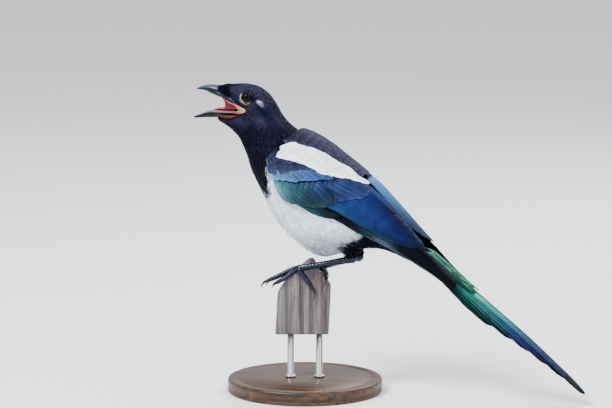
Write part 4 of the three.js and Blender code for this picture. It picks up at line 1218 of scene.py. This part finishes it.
def placedTone(start, end, rim=1.35, dark=0.5):
    # a covert takes its colour from its place on the wing, paler at its rim and darker inside
    def colour(along, lane, points):
        tone = covertTone(start[0] + (end[0] - start[0]) * along, start[1] + (end[1] - start[1]) * along)
        pale = step(0.45, 0.85, lane) * (rim - 1) + step(0.8, 0.97, along) * (rim - 1) * 0.6
        shade = step(0.1, -0.5, lane) * dark + 0.35 * np.exp(-(lane / 0.07) ** 2)
        tone[:, :3] *= ((1 + pale) * (1 - shade))[:, None]
        return tone

    return colour


wing = {
    "primaries": [(70, 0.975), (86, 0.95), (96, 0.92), (98, 0.88), (96, 0.83), (92, 0.77), (86, 0.71),
                  (80, 0.65), (74, 0.59), (67, 0.53)],
    "secondaries": [(57, 0.46), (56, 0.43), (54, 0.41), (51, 0.385), (46, 0.365), (40, 0.345), (33, 0.33),
                    (25, 0.315), (16, 0.3)],
    # the far wing's innermost lie over the back's middle
    "backFeathers": [(60, 0.3), (59, 0.2), (58, 0.1), (56, 0.01), (52, -0.07), (46, -0.14), (38, -0.2)],
    "innerCoverts": [(-28, 0.67), (-23, 0.6), (-18, 0.53), (-14, 0.46), (-12, 0.4), (-13, 0.35), (-17, 0.31)],
    "greaterCoverts": [(-58, 1.02), (-52, 0.99), (-46, 0.96), (-41, 0.92), (-37, 0.88), (-34, 0.84), (-31, 0.79),
                       (-30, 0.73)],
    "primaryCoverts": [(-32, 1.01), (-27, 0.995), (-23, 0.975), (-20, 0.95), (-18, 0.92), (-18, 0.88)],
    "medianCoverts": [(-83, 0.99), (-78, 0.92), (-73, 0.85), (-69, 0.79), (-65, 0.73), (-61, 0.68), (-57, 0.63),
                      (-53, 0.59), (-49, 0.54), (-44, 0.5)],
    "lesserRows": 4,
    "mantleRows": 10,
}
# the white stripe: middle and half width, as q for each s
stripeCentre = smoothThrough([(-101, 0.8), (-97, 0.71), (-93, 0.64), (-85.5, 0.53), (-74.5, 0.445), (-64.5, 0.41),
                              (-50, 0.385), (-40, 0.34), (-30.5, 0.275), (-21, 0.245), (-15, 0.25)])
stripeHalf = smoothThrough([(-101, 0.06), (-97, 0.105), (-93, 0.12), (-85.5, 0.127), (-74.5, 0.12), (-64.5, 0.12),
                            (-50, 0.12), (-40, 0.105), (-30.5, 0.075), (-21, 0.04), (-15, 0.01)])


def tierFeathers(side, tips, root, rootStep, half, lift, layer, colour, point=0.8, rise=0.0, bend=1.0,
                 climb=0.4):
    made = []
    for i, (s, q) in enumerate(tips):
        start = (root[0] + i * rootStep[0], root[1] + i * rootStep[1])
        end = (s + draw.normal(0, 0.5), q + draw.normal(0, 0.004))
        shape = {"half": half * draw.uniform(0.94, 1.06), "lift": lift + layer * i, "point": point, "rise": rise,
                 "climb": climb}
        tone = colour(start, end) if colour is placedTone else colour(i / max(len(tips) - 1, 1))
        made.append((wingLine(side, start, end, bend), shape, tone))
    return made


def quillTone(share):
    return edged("0e1118", "8ab0c8", "0a0b10", 0.22, 0.5, inner="08090d", rimEnd=0.56)


def covertQuillTone(share):
    return edged("182229", "4f8e98", "0e1318", 0.2, 0.8, inner="0b1014", rootTone="203842")


def nearSecondaryTone(share):
    if share < 0.25:
        return edged("1b2b52", "2c4f78", "131a2e", 0.2, 0.5, inner="141f3c", rootTone="28466c")
    if share > 0.9:
        return edged("1f2c60", "12162a", "10132a", 0.5, 0.5, inner="1a2450", rootTone="24356c")
    return edged("232e60", "2d3d72", "161b34", 0.2, 0.5, inner="1b2248", rootTone="283a6c")


def farSecondaryTone(share):
    if share < 0.5:
        return nearSecondaryTone(share)
    return edged("427398", "5084a4", "10181f", 0.22, 0.3, inner="386488", rootTone="5f80b0")


def growWing(side, name):
    near = side < 0
    secondaries = wing["secondaries"] if near else wing["secondaries"] + wing["backFeathers"]
    # tier, tips, root, step from root to root, half width, lift, layer, colours, where its end rounds off, rest, rows
    tiers = [
        ("primaries", wing["primaries"], (-26, 0.965), (2.2, -0.033), 3.4, 1.4, 0.2, quillTone, 0.88,
         {"climb": 0.06}, 26),
        ("secondaries", secondaries, (-48, 0.77), (2, -0.055) if near else (1.2, -0.058), 5.6, 3.3, 0.17,
         nearSecondaryTone if near else farSecondaryTone, 0.84, {"bend": 2.0, "climb": 0.12}, 26),
        ("primaryCoverts", wing["primaryCoverts"], (-66, 0.99), (3.4, -0.02), 3.2, 2.2, 0.24, covertQuillTone, 0.8,
         {}, 18),
        ("greaterCoverts", wing["greaterCoverts"], (-88, 0.97), (3.2, -0.045), 6.0, 2.8, 0.2, placedTone, 0.74,
         {"rise": 1.1}, 18),
        ("innerCoverts", wing["innerCoverts"], (-66, 0.7), (1.5, -0.05), 6.4, 4.3, 0.12, placedTone, 0.78,
         {"rise": 0.5}, 18),
        ("medianCoverts", wing["medianCoverts"], (-97, 0.98), (3.6, -0.054), 5.2, 3.9, 0.12, placedTone, 0.66,
         {"rise": 0.6}, 14),
    ]
    pieces = [bladePiece(tier + name, tierFeathers(side, *shape, **rest), flightLook, rows)
              for tier, *shape, rest, rows in tiers]

    lesser = []
    for row in range(wing["lesserRows"]):
        for s, q in wing["medianCoverts"]:
            s, q = s - 6 - 6.5 * row + draw.normal(0, 0.8), q - 0.012 * row + draw.normal(0, 0.01)
            hidden = s < -98 or (abs(q - 0.02 - stripeCentre(s)) < stripeHalf(s) * 0.7 and s > -96)
            if hidden:
                continue
            shape = {"half": 4.2, "lift": 4.3 + 0.35 * row, "point": 0.6, "rise": 0.4, "ragged": 0.05}
            tone = edged("2b2e42", "4f5674", "373c56", 0.25, 0.6, inner="1e202e") if row else edged(
                "363f58", "586a8a", "465674", 0.25, 0.6, inner="262c40")
            lesser.append((wingLine(side, (max(s - 12, -103), q), (s, q)), shape, tone))
    bladePiece("lesserCoverts" + name, lesser, shoulderLook, 12)

    white = []
    for row, s in enumerate(np.linspace(-89, -20, 13)):
        files = max(1, int(round(stripeHalf(s) / 0.028)))
        for k in range(files):
            offset = (k - (files - 1) / 2) / max(files - 1, 1) * 2 * max(stripeHalf(s) - 0.05, 0)
            start = max(s - 22, -100.5)
            inset = offset * min(1, stripeHalf(start) / stripeHalf(s)) * 0.8
            shape = {"half": 4.6 if s < -34 else 3.4, "lift": 5.2 + 0.06 * (12 - row) + 0.06 * k, "point": 0.62,
                     "rise": 0.6, "ragged": 0.05}
            tone = edged("f2f4f8", "fafbfc", "ffffff", 0.2, 0.8, inner="e8ebf1", rootTone="e2e6ee")
            tip = (s + draw.normal(0, 1.2), stripeCentre(s) + offset + draw.normal(0, 0.008))
            white.append((wingLine(side, (start, stripeCentre(start) + inset), tip), shape, tone))
    bladePiece("scapulars" + name, white, scapularLook, 14)

    mantle = []
    for row in range(wing["mantleRows"]):
        s = -94 + 7.4 * row
        top = stripeCentre(s) - stripeHalf(s)
        files = max(2, int(round((top + 0.04) / 0.07)))
        for k in range(files):
            q = -0.04 + (top + 0.02) * k / (files - 1)
            shape = {"half": 4.6, "lift": 4.2 + 0.08 * (9 - row) + 0.06 * k, "point": 0.62, "rise": 0.4,
                     "ragged": 0.06}
            tone = edged("2a2939", "575a7c", "3a3a54", 0.3, 0.7, inner="1c1b28")
            start = max(s - 19, -103)
            mantle.append((wingLine(side, (start, q * 0.92), (s + draw.normal(0, 1.4), q)), shape, tone))
    bladePiece("mantle" + name, mantle, shoulderLook, 12)
    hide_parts("wing_" + name.lower())


for side, name in ((-1, "Left"), (1, "Right")):
    growWing(side, name)


# Tail: twelve stepped feathers, green at the base, through teal and indigo to a black end

def tailTone(pair):
    stops = [(56, "3d7a62"), (85, "4c9c86"), (112, "4c9890"), (135, "458480"), (160, "3c6478"),
             (180, "3a4070"), (200, "30305c"), (222, "1e1e38"), (246, "121218")]
    # each pair's tone is scaled; the lower pairs, lying under the others, carry painted shade, the lowest darkest
    darker = (0.78, 1.0, 0.75, 0.42, 0.22, 0.14)[pair]
    table = np.array([hexColour(c) for _, c in stops])
    places = np.array([s for s, _ in stops], float)

    def colour(along, lane, points):
        s, _ = alongSlope(points)
        shift = 0 if pair == 0 else 10
        tone = np.stack([np.interp(s + shift, places, table[:, c]) for c in range(4)], -1)
        innerDark = step(0.1, -0.3, lane) * (0.0 if pair == 0 else 0.8)
        shaftDark = np.exp(-(lane / 0.06) ** 2) * 0.55
        tone[:, :3] *= ((1 - innerDark) * (1 - shaftDark) * darker)[:, None]
        return tone

    return colour


def growTail():
    feathers = []
    for pair in reversed(range(6)):
        for side in (-1, 1):
            tip = tailTips[pair]

            def place(t, across, lift, pair=pair, side=side, tip=tip):
                s = 50 + (tip - 50) * t
                spread = 0.45 + 0.55 * np.minimum(1, t * 1.5)
                return tailPlace(s, side * ((2 + 2.5 * pair) * spread + across), lift)

            lift = -0.72 * pair - (0.3 if side > 0 else 0)
            shape = {"half": 8.4 if pair else 8.8, "lift": lift, "point": 0.9, "ragged": 0.012}
            feathers.append((place, shape, tailTone(pair)))
    coverts = []
    for row, end in enumerate(np.linspace(76, 112, 9)):
        for k in range(-3, 4):
            s, offset = end + draw.uniform(-3, 3), (k + draw.uniform(-0.3, 0.3)) * 3.1

            def place(t, across, lift, s=s, offset=offset):
                return tailPlace(s - 24 + 24 * t, offset + across, lift)
            shape = {"half": 3.1, "lift": 1.3 + 0.14 * (8 - row) + draw.uniform(0, 0.3), "point": 0.6, "ragged": 0.07}
            gleam = draw.choice(["4a9a7e", "2c6852", "1c443a", "6cc0a0"])
            coverts.append((place, shape, edged(gleam, "58a88c", "2a5c50", 0.3, 0.8, inner="1e3c32")))
    return (bladePiece("tailFeathers", feathers, tailLook, 40),
            bladePiece("tailCoverts", coverts, tailLook, 14))


tailFeathers, tailCoverts = growTail()
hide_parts("tail")
print("wings and tail done")


# Legs: dark scutes in rings over a smooth shank and toes, then curved claws

swell = 1.28    # the shank and toes as thick as they are, against the radii below
legs = {
    "scuteGap": 3.2, "toeGap": 2.3,
    # share of the way down, radius
    "shankRadii": ([0, 0.1, 0.5, 0.9, 1], np.array([2.9, 2.5, 2.0, 2.1, 2.6]) * swell),
    "toeRadii": ([0, 1], np.array([2.0, 1.45]) * swell),
    "left": {
        "heel": onPicket([43.5, -24.6, 27.6]), "pad": [-5, -10.5, 16.8],
        "toes": [[[-5, -12.7, 15], [0.4, -13, 8], [3.4, -12.9, 3.6]],
                 [[-7, -10.4, 16.2], [-12.5, -11.8, 12.6], [-17.5, -12, 8.4], [-25, -12, 4.2]],
                 [[-8, -9.4, 16.8], [-15, -7, 13.6], [-25, -6, 8.6], [-33, -5.6, 4.9]],
                 [[-8, -8.6, 16.4], [-14, -3, 13.4], [-22, 0.5, 8.4], [-30, 2, 4.6]]],
        "claws": [[[3.4, -12.9, 3.6], [7.4, -13.1, -1.4], [9, -12.9, -6], [7.4, -12.6, -12.8]],
                  [[-25, -12, 4.2], [-28, -12, 2.4], [-29.4, -12, -0.8]],
                  [[-33, -5.6, 4.9], [-37, -5.6, 3], [-40.4, -5.6, -1.8]],
                  [[-30, 2, 4.6], [-33.4, 2.2, 2.6], [-35.4, 2.3, -1.2]]]},
    "right": {
        "heel": onPicket([50, 4.6, 24.6]), "pad": [10, 13.6, 13],
        "toes": [[[11, 13, 13.4], [15.6, 10.6, 13.6], [18.7, 4, 11], [19.8, -4, 8.8]],
                 [[8.6, 14, 11], [5, 13.6, 5], [2, 13.2, -2]],
                 [[7, 14.4, 12], [0, 14, 8.6], [-7, 13.4, 3.6]],
                 [[7, 14.2, 14], [0, 13.8, 13], [-7, 13.2, 9.4]]],
        "claws": [[[19.8, -4, 8.8], [19.6, -9.5, 7], [18.4, -12.4, 3.4], [15.8, -12.6, -0.8]],
                  [[2, 13.2, -2], [0.6, 13.2, -5.4], [0.2, 12.4, -8.6]],
                  [[-7, 13.4, 3.6], [-10, 13.2, 0.8], [-11.6, 12.4, -3]],
                  [[-7, 13.2, 9.4], [-10.4, 12.9, 6.8], [-12.4, 12.2, 3]]]},
}
# scaly skin, hard and shiny as a beetle's back, with finer grain between the scutes
scuteLook, tree, shader = newMaterial(
    "glossyBlackScutes", Roughness=0.25, IOR=1.54, Specular_Tint=hexColour("b8c4f0"), Coat_Weight=0.5,
    Coat_Roughness=0.12, Coat_Tint=hexColour("e4e8ff"))
place = addNode(tree, "ShaderNodeTexCoord").outputs["Object"]
scales = addNode(tree, "ShaderNodeTexVoronoi", {"Vector": place, "Scale": 900.0}, feature="DISTANCE_TO_EDGE")
patches = grained(tree, 260.0, 4.0)
joined(tree, shader, Base_Color=ramp(tree, patches, [(0.3, "0a0a0d"), (0.55, "14141a"), (0.75, "282a34")]),
       Roughness=levelled(tree, patches, 0.2, 0.42), Normal=raised(tree, scales.outputs["Distance"], 0.25, 0.0002))


def scuteShape(sides=14):
    # a flared ring one unit in radius and one long, thicker at its lower lip
    outline = [(0.95, 0), (1.0, 0.08), (1.03, 0.75), (1.045, 0.95), (0.99, 1.05), (0.85, 1.03)]
    angle = np.arange(sides) / sides * 2 * np.pi
    rings = np.array([[(r * math.cos(a), r * math.sin(a), z) for a in angle] for r, z in outline])
    points, quads, tris = cappedRings(rings)
    return points, [list(f) for f in quads] + [list(f) for f in tris]


def alongPath(path, gap):
    # even places, directions and share of the way along a path of points
    fine = pathPoints(path, 200)
    length = np.concatenate([[0], np.cumsum(np.linalg.norm(np.diff(fine, axis=0), axis=1))])
    count = max(2, int(round(length[-1] / gap)))
    at = (np.arange(count) + 0.1) / count * length[-1]
    places = np.stack([np.interp(at, length, fine[:, k]) for k in range(3)], -1)
    directions = unit(np.stack([np.interp(at + gap / 2, length, fine[:, k]) for k in range(3)], -1) - places)
    return places, directions, at / length[-1], length[-1] / count


def ballAt(centre, radius, rows=12, sides=20):
    angle = np.arange(sides) / sides * 2 * np.pi
    polar = np.linspace(0.02, math.pi - 0.02, rows)
    ball = np.stack([np.sin(polar)[:, None] * np.cos(angle), np.sin(polar)[:, None] * np.sin(angle),
                     np.broadcast_to(np.cos(polar)[:, None], (rows, sides))], -1)
    return cappedRings(np.asarray(centre) + ball * radius)


def makeLeg(name, shape):
    hip = np.array(shinLine[-1 if name == "Left" else 1][0], float)
    heel, pad = np.array(shape["heel"], float), np.array(onPicket(shape["pad"]))
    shank = [heel, heel + (pad - heel) * 0.5, pad]
    upper = pathPoints([heel + (hip - heel) * 0.4, heel + (hip - heel) * 0.15, heel], 12)
    u = np.linspace(0, 1, 30)
    parts = [cappedRings(tubeRings(pathPoints(shank, 30), np.interp(u, *legs["shankRadii"]) * 0.94, 20, tall=1.1)),
             cappedRings(tubeRings(upper, np.linspace(3.4, 3.0, 12), 20, lead=(1, 0, 0))),
             ballAt(heel, 3.2), ballAt(pad, 3.1)]
    scutes = []

    def clad(path, gap, bareShare, radii, tall):
        at, ahead, share, pitch = alongPath(path, gap)
        keep = share > bareShare
        r = np.interp(share, *radii)[keep]
        scutes.append((at[keep], ahead[keep], np.stack([r * 0.95, r * tall, np.full(len(r), pitch)], -1)))

    clad(shank, legs["scuteGap"], 0.02, legs["shankRadii"], 1.05)
    for points in shape["toes"]:
        path = [pad] + [onPicket(p) for p in points]
        knuckles = 1 + 0.06 * np.sin(6 * np.pi * u)
        toe = tubeRings(pathPoints(path, 30), np.interp(u, *legs["toeRadii"]) * knuckles * 0.93, 16)
        parts.append(cappedRings(toe))
        clad(path, legs["toeGap"], 0.12, legs["toeRadii"], 0.95)
    points, quads, tris = joinParts(parts)
    leg = meshPiece("leg" + name, points, [quads, tris], scuteLook)
    places, directions, sizes = (np.concatenate(rows) for rows in zip(*scutes))
    setOnPoints("scutes" + name, scuteShape(), places, directions, sizes, scuteLook, spread=0.02, seed=5,
                lead=(0.2, 1, 0.1))
    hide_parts("leg_" + name.lower())
    for i, points in enumerate(shape["claws"]):
        centres = pathPoints([onPicket(p) for p in points], 24)
        t = np.linspace(0, 1, 24)
        radii = 1.45 * (1 - t) ** 0.75 + 0.14
        points, quads, tris = cappedRings(tubeRings(centres, radii, 14, lead=(0, 1, 0)))
        share = np.concatenate([np.repeat(t, 14), [0, 1]])
        tint = tintOf(["15141a", "4a3b30"], [1 - share, 0.7 * share**2])
        claw = meshPiece("claw%s%d" % (name, i + 1), points, [quads, tris], clawLook, values={"tint": tint})
        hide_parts("claw_%s_%d" % (name.lower(), i + 1))


for name in ("Left", "Right"):
    makeLeg(name, legs[name.lower()])
print("legs done")


# Perch: the cut top of an old softwood picket, grey from weather, with raised grain and drying cracks

perch = {"voxel": 0.62, "grain": 0.3, "cracks": [(-11, 0.7, 10), (-4.5, 0.5, -14), (6.5, 0.55, 4), (14.5, 0.6, -10)]}
weathered, tree, shader = newMaterial("weatheredGreySoftwood", Roughness=0.88, IOR=1.5, Specular_IOR_Level=0.3)
# growth rings show as upright lines two to three millimetres apart, fibres a third of a millimetre
rings = grained(tree, (330, 330, 14), 5.0, (0, 0, -math.radians(bird["picketTurn"])), Roughness=0.6, Distortion=0.3)
fibres, stain = grained(tree, (1700, 1700, 60), 4.0), grained(tree, 55.0, 6.0)
tone = ramp(tree, rings, [(0.28, "3a3537"), (0.42, "635d60"), (0.55, "7d7679"), (0.72, "989193")])
lit = scaled(tree, tone, levelled(tree, fibres, 0.78, 1.12, 0.3, 0.7))
mixed = addNode(tree, "ShaderNodeMix", {"Factor": levelled(tree, stain, 0.0, 1.0, 0.58, 0.85), 6: lit,
                                        7: hexColour("6a5a4c")}, data_type="RGBA")
joined(tree, shader, Base_Color=mixed.outputs[2],
       Normal=raised(tree, reckoned(tree, "ADD", rings, fibres), 0.6, 0.0006))

points, quads = remeshed([shapeOf("perch_picket")], perch["voxel"], 3)
normal = vertexNormals(points, [quads])
u = points[:, 0] * turnCos + points[:, 1] * turnSin
sunk = roughened(points, 3.2, perch["grain"], (1, 1, 9)) + roughened(points, 1.3, perch["grain"] * 0.5, (1, 1, 14), 7)
sunk = np.minimum(sunk, 0.05) - 0.05
for place, width, low in perch["cracks"]:
    wander = place + 0.8 * np.sin(points[:, 2] * 0.13 + place)
    sunk -= 1.1 * np.exp(-((u - wander) / width) ** 2) * step(low - 3, low + 5, points[:, 2])
flatFoot = step(-43.4, -41.5, points[:, 2])
picket = meshPiece("perchPicket", points + normal * (sunk * flatFoot)[:, None], [quads], weathered)
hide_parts("perch_picket")
print("perch:", len(quads), "faces")


# Stand: a turned disc of dark oiled oak and two brushed steel rods

stand = {"radius": 70.0, "height": 12.0, "edge": 2.0, "sides": 128, "rod": 3.0, "spread": 13.0, "foot": -44.0}


def turned(name, outline, sides, material, slot, at=(0, 0)):
    # outline is (radius, height) from the axis below to the axis above
    angle = np.arange(sides) / sides * 2 * np.pi
    rings = np.array([[(at[0] + r * math.cos(a), at[1] + r * math.sin(a), z - bird["perchHeight"]) for a in angle]
                      for r, z in outline])
    points, quads, tris = cappedRings(rings)
    return meshPiece(name, points, [quads, tris], material)


oak, tree, shader = newMaterial("darkOiledOak", Roughness=0.42, IOR=1.5, Coat_Weight=0.15, Coat_Roughness=0.3)
# oak pores are a third of a millimetre wide and some millimetres long, growth bands four millimetres apart
lean = (0.1, 0.05, 0.6)
bands, pores = grained(tree, (12, 240, 240), 4.0, lean, Distortion=0.8), grained(tree, (90, 1500, 1500), 2.0, lean)
tone = ramp(tree, bands, [(0.3, "2b1d14"), (0.5, "4a3324"), (0.7, "6a4a33")])
joined(tree, shader, Base_Color=scaled(tree, tone, levelled(tree, pores, 0.55, 1.0, 0.3, 0.45)),
       Roughness=levelled(tree, bands, 0.36, 0.52), Normal=raised(tree, pores, 0.2, 0.0003))

r, h, e = stand["radius"], stand["height"], stand["edge"]
rounded = [(r - e + e * math.sin(a), h - e + e * math.cos(a)) for a in np.linspace(math.pi / 2, 0, 8)]
base = turned("standBase", [(r - 0.5, 0), (r, 0.5), (r, 3), (r - 0.4, 3.3), (r, 3.6)] + rounded
              + [(r - 9, h), (r - 9.3, h - 0.3), (r - 9.8, h - 0.3), (r - 10.1, h), (20, h)],
              stand["sides"], oak, "base_wood")
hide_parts("stand_base")

steel, tree, shader = newMaterial("brushedStainlessRod", Metallic=1.0, Roughness=0.3, Base_Color=hexColour("c9cacc"))
brushed = grained(tree, (300, 300, 5000), 3.0)
joined(tree, shader, Base_Color=ramp(tree, brushed, [(0.3, "b4b6b9"), (0.7, "d2d3d5")]),
       Roughness=levelled(tree, brushed, 0.22, 0.42), Normal=raised(tree, brushed, 0.15, 0.0001))
for i, side in enumerate((-1, 1)):
    x, y, _ = onPicket([side * stand["spread"], 0, 0])
    low, high = h + 0.3, bird["perchHeight"] + stand["foot"] - 0.3
    w = stand["rod"]
    flange = [(w + out, low + up) for out, up in [(-0.3, 0), (1.6, 0.01), (1.8, 0.3), (1.8, 1.5), (1.4, 1.8),
                                                  (0.2, 1.8), (0, 2)]]
    rod = turned("standRod%d" % (i + 1), flange + [(w, high - 0.3), (w - 0.3, high)], 48, steel, "rod_steel", (x, y))
    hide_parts("stand_rod_%d" % (i + 1))
print("stand done")


# Camera at the photograph's angle, floor and lights

stage = {
    "look": (0.9, 0.2, 73.6), "azimuth": 15.0, "elevation": 8.0, "distance": 2295.0, "lens": 150.0,
    "floor": "eceded", "world": "e6e9ee", "worldStrength": 1.0,
    # name, place in metres, size in metres, watts
    "lights": [("key", (-0.8, -1.2, 1.9), 0.7, 56), ("fill", (1.6, -1.3, 0.8), 1.4, 10),
               ("rim", (0.5, 1.3, 1.5), 0.8, 20)],
}


def placeCamera():
    data = bpy.data.cameras.new("camera")
    data.lens = stage["lens"]
    data.sensor_width = 36.0
    data.clip_end = 100
    camera = bpy.data.objects.new("camera", data)
    bpy.context.scene.collection.objects.link(camera)
    a, e = math.radians(stage["azimuth"]), math.radians(stage["elevation"])
    away = Vector((math.sin(a) * math.cos(e), -math.cos(a) * math.cos(e), math.sin(e)))
    camera.location = Vector(toMetres(stage["look"])) + away * stage["distance"] / 1000
    camera.rotation_euler = away.to_track_quat("Z", "Y").to_euler()
    bpy.context.scene.camera = camera


def placeFloor():
    bpy.ops.mesh.primitive_circle_add(vertices=96, radius=25, fill_type="NGON", location=(0, 0, -0.0002))
    floor = bpy.context.object
    floor.name = "floor"
    paint, _, _ = newMaterial("matteFloorPaint", Base_Color=hexColour(stage["floor"]), Roughness=0.9)
    floor.data.materials.append(paint)


def placeLights():
    world = bpy.data.worlds.new("studio")
    world.use_nodes = True
    world.node_tree.nodes["Background"].inputs["Color"].default_value = hexColour(stage["world"])
    world.node_tree.nodes["Background"].inputs["Strength"].default_value = stage["worldStrength"]
    bpy.context.scene.world = world
    for name, at, size, power in stage["lights"]:
        data = bpy.data.lights.new(name, "AREA")
        data.size = size
        data.energy = power
        lamp = bpy.data.objects.new(name, data)
        lamp.location = at
        lamp.rotation_euler = (Vector(at) - Vector((0, 0, 0.17))).to_track_quat("Z", "Y").to_euler()
        bpy.context.scene.collection.objects.link(lamp)


placeCamera()
placeFloor()
placeLights()
bpy.context.scene.view_settings.look = "AgX - Medium High Contrast"
